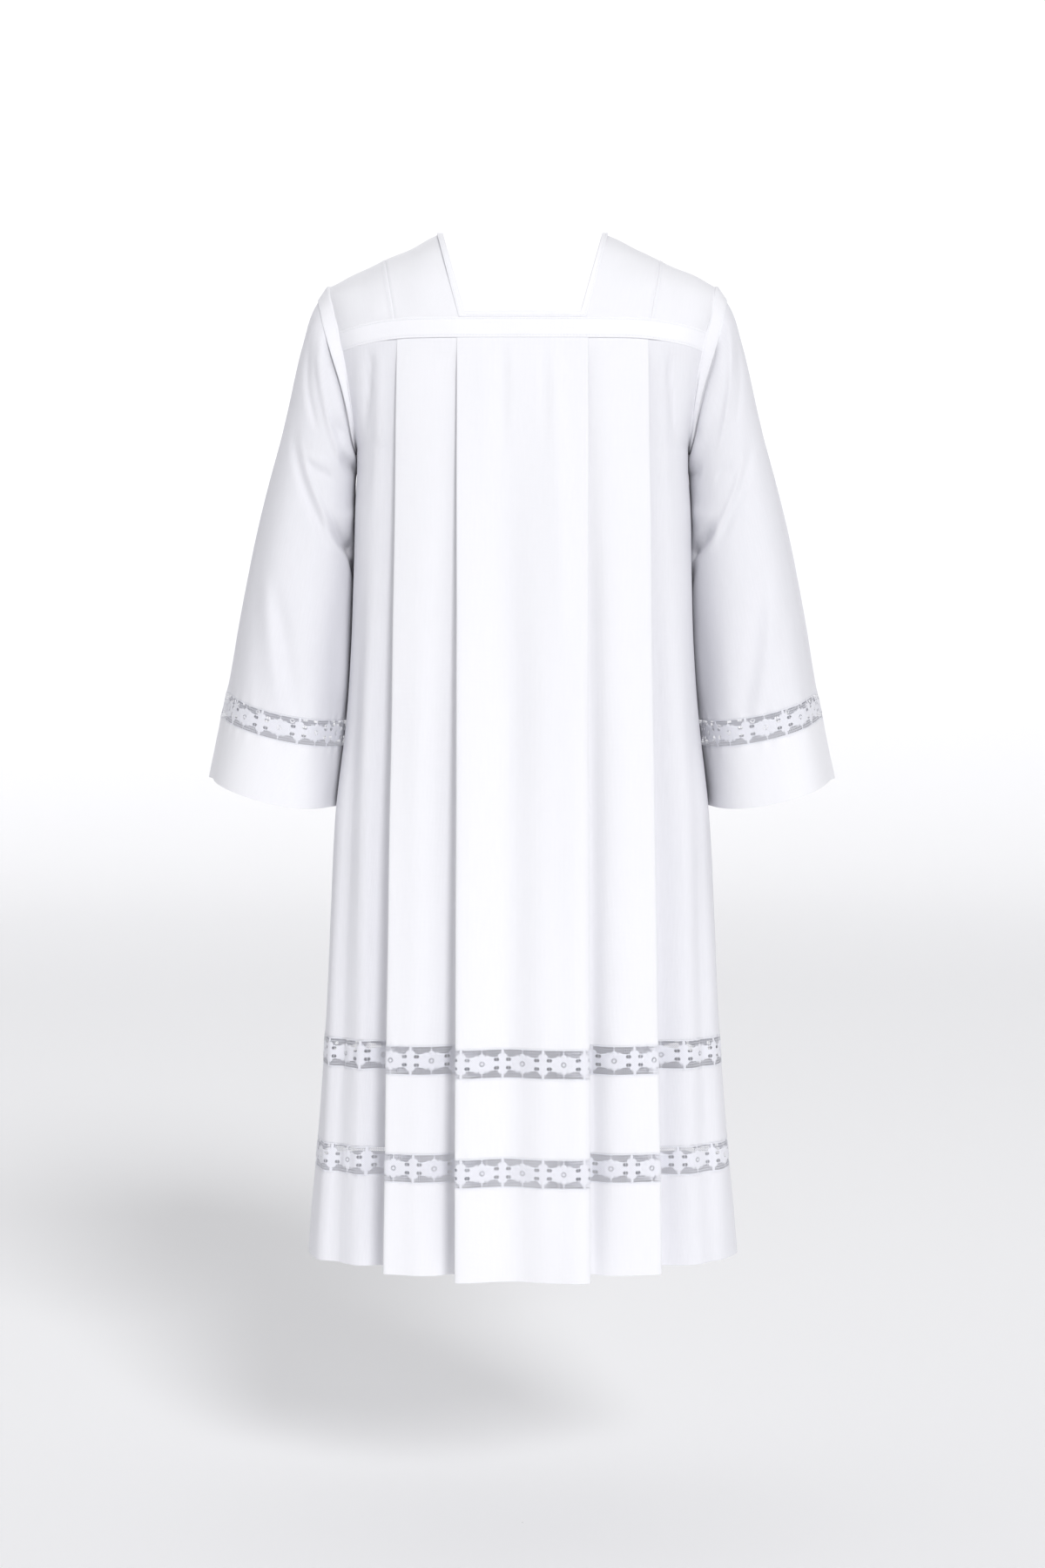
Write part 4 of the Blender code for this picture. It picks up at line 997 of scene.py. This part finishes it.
def read_sleeve(share, along):
    """Point, outward direction and girth of the left sleeve's form."""
    column = (share % 1.0) * FORM_COLUMNS
    row = np.clip(along / SLEEVE_STEP, 0, len(SLEEVE_FORMS) - 1.001)
    c, r = column.astype(int), row.astype(int)
    over, down = (column - c)[..., None], (row - r)[..., None]
    near = SLEEVE_FORMS[r, c] * (1 - over) + SLEEVE_FORMS[r, c + 1] * over
    far = SLEEVE_FORMS[r + 1, c] * (1 - over) + SLEEVE_FORMS[r + 1, c + 1] * over
    return near * (1 - down) + far * down


def sleeve_fold_rise(share, along, girth, folds):
    """How far the folds lift the sleeve at a share of the way round and a distance down."""
    rise = np.zeros_like(share)
    for f in folds:
        for turn in (-1.0, 0.0, 1.0):
            a = (share + turn - f.from_share) * girth
            d = along - f.from_along
            run = np.stack([(f.to_share - f.from_share) * girth,
                            np.full_like(girth, f.to_along - f.from_along)], axis=-1)
            length = np.linalg.norm(run, axis=-1)
            run /= length[..., None]
            way = (a * run[..., 0] + d * run[..., 1]) / length
            off = d * run[..., 0] - a * run[..., 1] - f.bend * 4 * way * (1 - way)
            width = f.width * (1 + f.lean * np.tanh(off / f.width))
            rise += f.rise * np.exp(-(off / width) ** 2) * ease(way / 0.35) * ease((1 - way) / 0.3)
    return rise


def band_end(share):
    """How far down a sleeve its head band reaches. It narrows towards the underarm."""
    low = ease((0.38 - np.abs(share % 1.0 - 0.5)) / 0.25)
    return BAND_END - BAND_TAPER[0] - (BAND_TAPER[1] - BAND_TAPER[0]) * low


def tapered(along, share):
    """Distances down a sleeve, drawn up to the end of its band."""
    end = band_end(share)
    return np.where(along < BAND_END, along * end / BAND_END,
                    along - (BAND_END - end) * ease(1 - (along - BAND_END) / TAPER_REACH))


def sleeve_points(share, along, mirror):
    """Points of a sleeve at shares of the way round it and distances down it."""
    form = read_sleeve(share, along)
    girth = form[..., 6]
    free = ease((along - band_end(share) * 0.8) / 0.02)
    rise = sleeve_fold_rise(share, along, girth, SLEEVE_FOLDS[mirror]) * free
    rise *= 1 - UNDERARM_CALM * np.exp(-((share - 0.5) / UNDERARM_REACH) ** 2)
    beat = np.sin(2 * math.pi * share * SLEEVE_PUCKERS + 1.7 * np.sin(2 * math.pi * share * 5 + mirror))
    rise += sum(SLEEVE_PUCKER_RISE * beat * np.exp(-((along - seam) / PUCKER_REACH) ** 2)
                for seam in SLEEVE_LACE)
    flare = np.clip((along - FLUTE_FROM) / FLUTE_GROWTH, 0, 1) ** 2
    flutes = 2 * math.pi * (share * FLUTES + 0.1 * mirror) + 1.3 * np.sin(4 * math.pi * share)
    rise += flare * FLUTE_RISE * np.sin(flutes)
    points = form[..., :3] + form[..., 3:6] * rise[..., None]
    return points * (mirror, 1.0, 1.0)


def sleeve_rows(alongs, mirror, columns=SLEEVE_COLUMNS):
    """Grid of a sleeve's points, with each one's place on the flat cloth."""
    along, share = np.meshgrid(np.array(alongs), np.arange(columns) / columns, indexing="ij")
    along = tapered(along, share)
    girth = read_sleeve(share, along)[..., 6]
    return sleeve_points(share, along, mirror), np.stack([share * girth, -along], axis=-1)


def alongs_between(start, end, first_steps=(), last_steps=()):
    """Distances down the sleeve of the rows of one of its pieces."""
    return spaced(start, end, SLEEVE_ROW_STEP, first_steps, last_steps)


def closed_normals(rows):
    """Unit normals of a grid whose rows close on themselves."""
    wide = np.concatenate([rows[:, -1:], rows, rows[:, :1]], axis=1)
    return normals_of(wide)[:, 1:-1]


def sleeve_tube(name, mirror, rows, threads, cloth, nodes):
    """Add a tube of cloth round an arm."""
    mesh = sheet_mesh(name, rows, threads, closed=True, flip=mirror > 0)
    piece = add_piece(name, mesh, cloth, nodes)
    cut_of(rows, closed=True)
    cloth_area(mesh)
    return piece


BAND_LAP, BAND_OVERHANG, BAND_PROUD = 0.0024, 0.0016, 0.0014
BAND_STITCHES, HEAD_START = (0.0015, 0.0024), 0.004
CREASE_SINK, CREASE_REACH, ROLL_RISE, ROLL_AT = 0.0060, 0.0062, 0.0026, 0.040
for mirror, word in ((WEARER_LEFT, "left"), (WEARER_RIGHT, "right")):
    # The strip laps over the edges of the shoulder piece and of the panels
    alongs = alongs_between(0.0, BAND_END + BAND_OVERHANG, (0.0014, 0.003), (0.0006, 0.0008, 0.0016))
    rows, threads = sleeve_rows(alongs, mirror)
    out = closed_normals(rows) * -mirror
    radial = rows[:1] - rows[:1].mean(axis=1, keepdims=True)
    radial /= np.linalg.norm(radial, axis=2, keepdims=True)
    laps = [rows[:1] - (mirror * BAND_LAP * part, 0.0, 0.0) + radial * BAND_PROUD * high
            for part, high in ((1.0, 0.0), (0.95, 0.7), (0.7, 1.0))]
    end = rows[-1:] - out[-1:] * BAND_PROUD * 0.5
    rows = np.concatenate(laps + [rows[:1] + radial * BAND_PROUD, rows[1:] + out[1:] * BAND_PROUD, end])
    threads = np.concatenate([threads[:1] + (0.0, BAND_LAP * part) for part in (1.0, 0.95, 0.7)]
                             + [threads, threads[-1:] - (0.0, BAND_PROUD)])
    sleeve_tube(f"armhole_strip_{word}", mirror, rows, threads, poplin, [f"armhole_band_{word}"])
    for along in (BAND_STITCHES[0], BAND_END + BAND_OVERHANG - BAND_STITCHES[1]):
        line, _ = sleeve_rows([along, along + 0.001], mirror, 721)
        up = closed_normals(line) * -mirror
        stitch_row(line[0] + up[0] * BAND_PROUD, up[0])
    add_stitches(f"armhole_stitches_{word}")

    # The sleeve's head sinks in behind the strip's outer edge, except over the shoulder
    alongs = alongs_between(BAND_END - HEAD_START, SLEEVE_LACE[0], (), LACE_EDGE_STEPS)
    rows, threads = sleeve_rows(alongs, mirror)
    out = closed_normals(rows) * -mirror
    upright = ease((0.37 - np.abs(np.arange(SLEEVE_COLUMNS) / SLEEVE_COLUMNS - 0.5)) / 0.09)
    down = np.array(alongs)
    head = (ROLL_RISE * np.exp(-((down - ROLL_AT) / (2 * CREASE_REACH)) ** 2)
            - CREASE_SINK * np.exp(-((down - BAND_END) / CREASE_REACH) ** 2))
    head[0] = 0.0
    rows += out * (head[:, None] * upright[None, :])[..., None]
    inward = closed_normals(rows) * mirror * SEAM_TURN
    under_lace, _ = sleeve_rows([SLEEVE_LACE[0] + UNDER_LACE], mirror)
    rows = np.concatenate([rows, rows[-1:] + inward[-1:], under_lace + inward[-1:]])
    threads = np.concatenate([threads, threads[-1:], threads[-1:] - (0.0, UNDER_LACE)])
    # The sleeve takes the greyer one-layer tone: single cloth, and painted shade
    sleeve_tube(f"flared_sleeve_{word}", mirror, rows, threads, one_layer_poplin_painted_shade, [f"sleeve_{word}"])

# ---- Lace insertions ----
# A machine-made cotton lace, 34 mm wide: a worked strip of rosettes and leaf lozenges on a fine
# net between two plain borders. It is let in round each sleeve and twice round the body.
LACE_REPEAT = 0.047
TILE_HALF, LACE_HALF, BORDER_WIDTH = 23.5, 17.0, 1.1
NET_ACROSS, NET_SLANT, NET_ROW = 1.95, 62.0, 2.86
MESH_HALF_LENGTH, MESH_HALF_WIDTH, MESH_TAPER, MESH_LEAST = 1.56, 0.66, 0.42, 0.50
ROSETTE_HALF_ACROSS, ROSETTE_HALF_DOWN, PETALS, PETAL_DEPTH = 11.8, 9.4, 8, 0.11
LOZENGE_HALF_ACROSS, LOZENGE_HALF_DOWN = 14.8, 14.8
BRIDGE_HALF, BRIDGE_SCALLOP = 7.7, 0.8
EYELET_HALF, KNOT_HALF, THREAD_HALF = 3.7, 2.3, 0.30
WINDOW_PLACE, WINDOW_HALF = (16.4, 4.7), (3.1, 2.1)
MOTIF_RISE, RELIEF_STEP = 0.60, 1.55
BORDER_RISE, EDGE_FALL = 0.35, 0.30
OUTLINE_INSET, HOLE_CLEARANCE = 0.28, 0.30


def rosette_edge(turn):
    """Radius of the rosette's scalloped outline."""
    oval = 1 / np.hypot(np.cos(turn) / ROSETTE_HALF_ACROSS, np.sin(turn) / ROSETTE_HALF_DOWN)
    return oval * (1 - PETAL_DEPTH + 2 * PETAL_DEPTH * np.abs(np.cos(turn * PETALS / 2)) ** 0.7)


def lozenge_edge(turn):
    """Radius of the leaf lozenge's outline, a diamond with three leaf lobes on each side."""
    across, down = np.abs(np.cos(turn)), np.abs(np.sin(turn))
    diamond = 1 / (across / LOZENGE_HALF_ACROSS + down / LOZENGE_HALF_DOWN)
    side = np.arctan2(down / LOZENGE_HALF_DOWN, across / LOZENGE_HALF_ACROSS) / (math.pi / 2)
    return diamond * (0.97 + 0.055 * np.cos(side * 6 * math.pi))


def motif_depth(x, y):
    """How far inside the worked motif a place is, in millimetres, and below 0 in the net."""
    rosette = rosette_edge(np.arctan2(y, x)) - np.hypot(x, y)
    to_side = np.abs(x) - TILE_HALF
    lozenge = lozenge_edge(np.arctan2(y, to_side)) - np.hypot(to_side, y)
    bridge = BRIDGE_HALF - BRIDGE_SCALLOP * np.abs(np.sin(x * 0.55)) - np.abs(y)
    return np.maximum(np.maximum(rosette, lozenge), bridge)


def net_mesh(start, end):
    """Outline of one long slanted mesh of the net between two places."""
    along = (end - start) / np.linalg.norm(end - start)
    over = np.array([-along[1], along[0]]) * MESH_HALF_WIDTH
    shoulders = (start + along * MESH_TAPER, end - along * MESH_TAPER)
    return [tuple(start), tuple(shoulders[0] - over), tuple(shoulders[1] - over), tuple(end),
            tuple(shoulders[1] + over), tuple(shoulders[0] + over)]


def net_holes():
    """Outlines of the net's meshes, which slant away from the rosette and stop at the motif."""
    slant = np.array([math.cos(math.radians(NET_SLANT)), math.sin(math.radians(NET_SLANT))])
    steps = np.linspace(-MESH_HALF_LENGTH, MESH_HALF_LENGTH, 25)
    top = LACE_HALF - BORDER_WIDTH - 0.15 - MESH_HALF_LENGTH * slant[1]
    holes = []
    for side_x in (-1, 1):
        for side_y in (-1, 1):
            for row in range(4):
                y = top - row * NET_ROW
                reach = MESH_HALF_LENGTH * slant[0]
                for x in np.arange(0.75 + reach, TILE_HALF - 0.9 - reach, NET_ACROSS):
                    line = (np.array([x, y]) - steps[:, None] * slant) * (side_x, side_y)
                    clear = steps[motif_depth(*line.T) < -HOLE_CLEARANCE]
                    if len(clear) > 2 and clear[-1] - clear[0] > 2 * MESH_LEAST:
                        ends = [(np.array([x, y]) - clear[k] * slant) * (side_x, side_y) for k in (0, -1)]
                        holes.append(net_mesh(*ends))
    return holes


def turns_left(outline):
    """Whether an outline runs anticlockwise."""
    x, y = np.array(outline).T
    return np.sum(x * np.roll(y, -1) - y * np.roll(x, -1)) > 0


def lace_holes():
    """Outlines of every hole in one repeat, in millimetres from the rosette's centre."""
    holes = net_holes()
    a = THREAD_HALF
    for sx in (-1, 1):
        for sy in (-1, 1):
            holes.append([(sx * (EYELET_HALF - a), sy * a), (sx * a, sy * (EYELET_HALF - a)),
                          (sx * a, sy * (KNOT_HALF - a)), (sx * (KNOT_HALF - a), sy * a)])
            x, y = sx * WINDOW_PLACE[0], sy * WINDOW_PLACE[1]
            w, h = WINDOW_HALF
            for way in (-1, 1):
                holes.append([(x + way * w, y), (x + way * w * 0.7, y + h * 0.8),
                              (x + way * THREAD_HALF, y + h), (x + way * THREAD_HALF, y - h),
                              (x + way * w * 0.7, y - h * 0.8)])
    return [hole if turns_left(hole) else hole[::-1] for hole in holes]


def lace_tile():
    """Points and faces of one repeat, in millimetres across, down and out."""
    holes = lace_holes()
    points, edges, outlines = [], [], []
    for hole in holes:
        first = len(points)
        points += hole
        outlines.append(list(range(first, first + len(hole))))
        edges += [(first + k, first + (k + 1) % len(hole)) for k in range(len(hole))]
    hole_points = np.array(points)
    turns = np.arange(72) * 2 * math.pi / 72
    loose = []
    for inset in (OUTLINE_INSET, -OUTLINE_INSET):
        edge = rosette_edge(turns) - inset
        loose += list(zip(edge * np.cos(turns), edge * np.sin(turns)))
        edge = lozenge_edge(turns) - inset
        loose += [(x - s * TILE_HALF, y) for s in (-1, 1)
                  for x, y in zip(edge * np.cos(turns), edge * np.sin(turns))]
    steps = np.arange(-TILE_HALF, TILE_HALF + 0.1, RELIEF_STEP)
    loose += [(x + (k % 2) * RELIEF_STEP / 2, y)
              for k, y in enumerate(np.arange(-15.5, 15.6, RELIEF_STEP))
              for x in steps if motif_depth(x, y) > 0.6]
    rims = np.array([-LACE_HALF, -LACE_HALF + BORDER_WIDTH / 2, LACE_HALF - BORDER_WIDTH / 2, LACE_HALF])
    along = np.linspace(-TILE_HALF, TILE_HALF, 17)
    side_steps = np.concatenate([rims, np.arange(-15, 15.1, 1.5)])
    kept = []
    for x, y in loose:
        if abs(x) < TILE_HALF - 0.5 and abs(y) < LACE_HALF - BORDER_WIDTH * 0.55:
            if np.min(np.hypot(hole_points[:, 0] - x, hole_points[:, 1] - y)) > HOLE_CLEARANCE:
                kept.append((x, y))
    kept += [(x, y) for x in along[1:-1] for y in rims]
    kept += [(x, y) for x in (-TILE_HALF, TILE_HALF) for y in side_steps]
    points += kept
    found = delaunay_2d_cdt([tuple(map(float, p)) for p in points], edges, outlines, 0, 1e-4)
    flat, faces, inside = np.array([tuple(v) for v in found[0]]), found[2], found[5]
    faces = [face for face, holes_over in zip(faces, inside) if not holes_over]
    x, y = flat.T
    depth = motif_depth(x, y)
    turn, radius = np.arctan2(y, x), np.hypot(x, y)
    petal = 0.70 + 0.30 * np.abs(np.cos(turn * PETALS / 2))
    cup = 1 - 0.45 * np.exp(-((radius - EYELET_HALF - 0.4) / 1.3) ** 2)
    leaf = 0.80 + 0.20 * np.cos((np.abs(np.abs(x) - TILE_HALF) - np.abs(y) * 0.6) * 1.5)
    worked = np.where(radius < ROSETTE_HALF_ACROSS, petal * cup, leaf)
    rise = MOTIF_RISE * ease(depth / 0.9 + 0.35) * worked
    rise += BORDER_RISE * ease((np.abs(y) - LACE_HALF + BORDER_WIDTH) / 0.9)
    rise -= EDGE_FALL * ease((np.abs(y) - LACE_HALF + 0.5) / 0.5)
    return x, y, rise, faces


TILE_X, TILE_Y, TILE_RISE, TILE_FACES = lace_tile()

# White cotton, spun and worked in satin stitch: matt, a little warmer and greyer than the
# poplin. Its threads are 0.4 mm apart and are drawn 0.9 mm apart, on the slant, as bands whose
# grooves are painted darker as shade.
COTTON_LIGHT, COTTON_SHADE = "#ECECF2", "#DCDEE7"
SATIN_SPACING = 0.0009
cotton_lace = bpy.data.materials.new("cotton_satin_stitch")
cotton_lace.use_nodes = True
lace_shader = set_shader(cotton_lace, {"Roughness": 0.78, "IOR": 1.50, "Sheen Weight": 0.25,
                                       "Sheen Roughness": 0.5})
lace_threads = add_node(cotton_lace, "ShaderNodeUVMap", {"uv_map": "threads"}).outputs["UV"]
satin = add_node(cotton_lace, "ShaderNodeTexWave",
                 {"bands_direction": "DIAGONAL", "Scale": math.pi / 10 / SATIN_SPACING,
                  "Distortion": 2.5, "Detail": 2.0, "Detail Scale": 0.5}, [("Vector", lace_threads)])
# Painted shade: the ramp darkens the grooves between the satin threads
satin_groove_shade_ramp = add_node(cotton_lace, "ShaderNodeValToRGB", {}, [("Fac", satin.outputs["Fac"])])
satin_groove_shade_ramp.color_ramp.elements[0].color = linear(COTTON_SHADE)
satin_groove_shade_ramp.color_ramp.elements[1].color = linear(COTTON_LIGHT)
satin_groove_shade_ramp.color_ramp.elements[1].position = 0.7
cotton_lace.node_tree.links.new(satin_groove_shade_ramp.outputs["Color"], lace_shader.inputs["Base Color"])
satin_bump = add_node(cotton_lace, "ShaderNodeBump", {"Strength": 0.7, "Distance": 0.0003},
                      [("Height", satin.outputs["Fac"])])
cotton_lace.node_tree.links.new(satin_bump.outputs["Normal"], lace_shader.inputs["Normal"])


def lace_strip(name, centres, place, nodes, limit=None, flip=False):
    """Repeat the lace's tile along a strip. place(along, down) gives points and outward normals."""
    along = (np.array(centres)[:, None] + TILE_X[None, :] * 0.001).ravel()
    down = np.tile(-TILE_Y / LACE_HALF / 2 + 0.5, len(centres))
    rise = np.tile(TILE_RISE, len(centres)) * 0.001
    clipped = along if limit is None else np.clip(along, -limit, limit)
    points, normals = place(clipped, down)
    points = points + normals * rise[:, None]
    size = len(TILE_X)
    faces = []
    for k in range(len(centres)):
        for face in TILE_FACES:
            corners = [k * size + v for v in face]
            if limit is None or min(abs(along[v]) for v in corners) < limit:
                faces.append(corners[::-1] if flip else corners)
    mesh = bpy.data.meshes.new(name)
    mesh.from_pydata(points.tolist(), [], faces)
    layer = mesh.uv_layers.new(name="threads")
    corner_points = np.empty(len(mesh.loops), dtype=int)
    mesh.loops.foreach_get("vertex_index", corner_points)
    spread = np.stack([clipped, -down * LACE_HALF * 0.002], axis=1)
    layer.data.foreach_set("uv", spread[corner_points].reshape(-1))
    mesh.shade_smooth()
    piece = add_piece(name, mesh, cotton_lace, nodes)
    return piece


def with_normals(point, along, down, sign, nudge=0.0006):
    """Points of a surface and its unit normals at places on it."""
    over = point(along + nudge, down) - point(along - nudge, down)
    low = point(along, down + nudge) - point(along, down - nudge)
    normals = np.cross(over, low) * sign
    normals /= np.maximum(np.linalg.norm(normals, axis=1, keepdims=True), 1e-12)
    return point(along, down), normals


def body_lace_place(side, top, low):
    """Places on one half of the body by distance along the lace and share of its width."""
    middle = np.full(SEAM_PLACE + 1, (top + low) / 2)
    samples = np.arange(SEAM_PLACE + 1, dtype=float)
    arc = read_sections(ARCS[side], middle, samples)[:, 0]

    def point(along, down):
        place = np.interp(np.abs(along), arc, samples) * np.sign(along)
        return body_points(side, place, top + (low - top) * down)

    return (lambda along, down: with_normals(point, along, down, side)), float(arc[-1])


LACE_STITCH_OFFSET = 0.0013
for (top, low), level_word in ((UPPER_LACE, "upper"), (LOWER_LACE, "lower")):
    for side, word in ((BACK, "back"), (FRONT, "front")):
        place, seam = body_lace_place(side, top, low)
        middle, _ = body_rows(side, [(top + low) / 2])
        count = math.ceil(seam / LACE_REPEAT - 0.5)
        lace_strip(f"body_lace_{level_word}_{word}", [k * LACE_REPEAT for k in range(-count, count + 1)],
                   place, [f"lace_{level_word}_{word}"], limit=seam,
                   flip=side == BACK)

for mirror, word in ((WEARER_LEFT, "left"), (WEARER_RIGHT, "right")):
    start, end = SLEEVE_LACE
    girth = float(read_sleeve(np.array([0.0]), np.array([(start + end) / 2]))[0, 6])
    repeats = round(girth / 2 / LACE_REPEAT)

    def sleeve_place(along, down, mirror=mirror, girth=girth, start=start, end=end):
        def point(a, d):
            return sleeve_points(a / girth, start + (end - start) * d, mirror)
        return with_normals(point, along, down, -mirror)

    for half, part in enumerate(("rear", "fore")):
        step = girth / 2 / repeats
        centres = [half * girth / 2 + (k + 0.5) * step for k in range(repeats)]
        squeeze = step / LACE_REPEAT
        lace_strip(f"sleeve_lace_band_{part}_{word}", [c / squeeze for c in centres],
                   lambda along, down, place=sleeve_place, s=squeeze: place(along * s, down),
                   [f"sleeve_lace_{part}_{word}"], flip=mirror < 0)

# ---- Cuffs and hem bands ----
# Plain strips of the same poplin on each side of the lace. The cuffs and the lowest strip of
# the body are turned up inside by a deep hem, which is sewn blind and shows no stitches.
HEM_THICKNESS = 0.0009
BODY_HEM_DEPTH, CUFF_HEM_DEPTH = 0.045, 0.040
HEM_EDGE_STEPS = (0.0003, 0.0007, 0.0015, 0.0030)

for side, word in ((BACK, "back"), (FRONT, "front")):
    levels = levels_between(UPPER_LACE[1], LOWER_LACE[0], LACE_EDGE_STEPS, LACE_EDGE_STEPS)
    body_strip(f"plain_strip_{word}", side, levels, [f"middle_band_{word}"], top=True, foot=True)
    levels = levels_between(LOWER_LACE[1], HEM_Z, LACE_EDGE_STEPS, HEM_EDGE_STEPS)
    body_strip(f"hem_strip_{word}", side, levels, [f"hem_band_{word}"], top=True,
               hem_depth=BODY_HEM_DEPTH)
    for level, way in zip(SEAMED_LEVELS, (1, -1, 1, -1)):
        z = level + way * LACE_STITCH_OFFSET
        place = np.tile(np.linspace(-SEAM_PLACE, SEAM_PLACE, 3 * SEAM_PLACE), (2, 1))
        line = body_points(side, place, np.array([[z + 0.0005], [z - 0.0005]]) + place * 0)
        stitch_row(line.mean(axis=0), normals_of(line)[0] * side)
    add_stitches(f"lace_stitches_{word}")

for mirror, word in ((WEARER_LEFT, "left"), (WEARER_RIGHT, "right")):
    alongs = alongs_between(SLEEVE_LACE[1], CUFF_END, LACE_EDGE_STEPS, HEM_EDGE_STEPS)
    rows, threads = sleeve_rows(alongs, mirror)
    inward = closed_normals(rows) * mirror
    start = next(k for k, a in enumerate(alongs) if a >= CUFF_END - CUFF_HEM_DEPTH)
    top = [rows[:1] * 2 - sleeve_rows([SLEEVE_LACE[1] + UNDER_LACE], mirror)[0] + inward[:1] * SEAM_TURN,
           rows[:1] + inward[:1] * SEAM_TURN]
    edge = rows[-1:] + inward[-1:] * HEM_THICKNESS / 2
    under = rows[start:][::-1] + inward[start:][::-1] * HEM_THICKNESS
    threads = np.concatenate([threads[:1] + (0.0, UNDER_LACE), threads[:1], threads, threads[-1:],
                              2 * threads[-1:] - threads[start:][::-1]])
    rows = np.concatenate(top + [rows, edge, under])
    sleeve_tube(f"plain_cuff_{word}", mirror, rows, threads, poplin, [f"cuff_{word}"])
    for along in (SLEEVE_LACE[0] - LACE_STITCH_OFFSET, SLEEVE_LACE[1] + LACE_STITCH_OFFSET):
        line, _ = sleeve_rows([along, along + 0.001], mirror, 721)
        stitch_row(line[0], closed_normals(line)[0] * -mirror)
    add_stitches(f"cuff_stitches_{word}")

# ---- Floor, light and camera ----
# A wide sweep of matt white paper under the part, two broad soft lamps far off, an even light
# from all round, and a camera a little above the middle of the part, behind the wearer.
FLOOR_Z = -1.53
PAPER_WHITE, PAPER_ROUGHNESS = "#FBFBFD", 0.9
AIR_WHITE, AIR_STRENGTH = "#FFFFFF", 0.49
Lamp = namedtuple("Lamp", "name turn height angle strength")
LAMPS = (Lamp("key_light", 15, 27, 14, 1.68), Lamp("far_key_light", 190, 24, 26, 0.95))
COVE_REACH, COVE_CORNER, COVE_HEIGHT = 13.0, 4.5, 5.2
CAMERA_PLACE = (0.0, 4.2, -0.433)
CAMERA_TILT_DOWN = math.radians(2.9)
CAMERA_LENS, CAMERA_SENSOR = 81.6, 36.0

# The floor turns up into a wall all round, far behind the camera too
turns = np.linspace(0, 2 * math.pi, 97)[:-1]
corner = np.linspace(0, math.pi / 2, 13)
reaches = np.concatenate([[0.001, 4.0], COVE_REACH - COVE_CORNER * (1 - np.sin(corner)), [COVE_REACH]])
heights = np.concatenate([[0.0, 0.0], COVE_CORNER * (1 - np.cos(corner)), [COVE_HEIGHT]]) + FLOOR_Z
rows = np.stack([np.stack([r * np.cos(turns), r * np.sin(turns), np.full(96, z)], axis=-1)
                 for r, z in zip(reaches, heights)])
floor_mesh = sheet_mesh("studio_floor", rows, rows[:, :, :2], closed=True, flip=True)
floor = bpy.data.objects.new("studio_floor", floor_mesh)
bpy.context.scene.collection.objects.link(floor)
paper = bpy.data.materials.new("white_paper_sweep")
paper.use_nodes = True
set_shader(paper, {"Base Color": linear(PAPER_WHITE), "Roughness": PAPER_ROUGHNESS})
floor_mesh.materials.append(paper)


# Each lamp stands at a turn to the right of the camera and at a height, both in degrees
for lamp in LAMPS:
    light = bpy.data.lights.new(lamp.name, "SUN")
    light.angle = math.radians(lamp.angle)
    light.energy = lamp.strength
    lamp_object = bpy.data.objects.new(lamp.name, light)
    bpy.context.scene.collection.objects.link(lamp_object)
    lamp_object.rotation_euler = (math.radians(90 - lamp.height), 0.0, math.radians(180 + lamp.turn))

world = bpy.data.worlds.new("studio_air")
world.use_nodes = True
world.node_tree.nodes["Background"].inputs["Color"].default_value = linear(AIR_WHITE)
world.node_tree.nodes["Background"].inputs["Strength"].default_value = AIR_STRENGTH
bpy.context.scene.world = world
bpy.context.scene.view_settings.view_transform = "Standard"

camera_data = bpy.data.cameras.new("camera")
camera_data.lens = CAMERA_LENS
camera_data.sensor_width = CAMERA_SENSOR
camera = bpy.data.objects.new("camera", camera_data)
camera.location = CAMERA_PLACE
camera.rotation_euler = (math.radians(90) - CAMERA_TILT_DOWN, 0.0, math.radians(180))
bpy.context.scene.collection.objects.link(camera)
bpy.context.scene.camera = camera
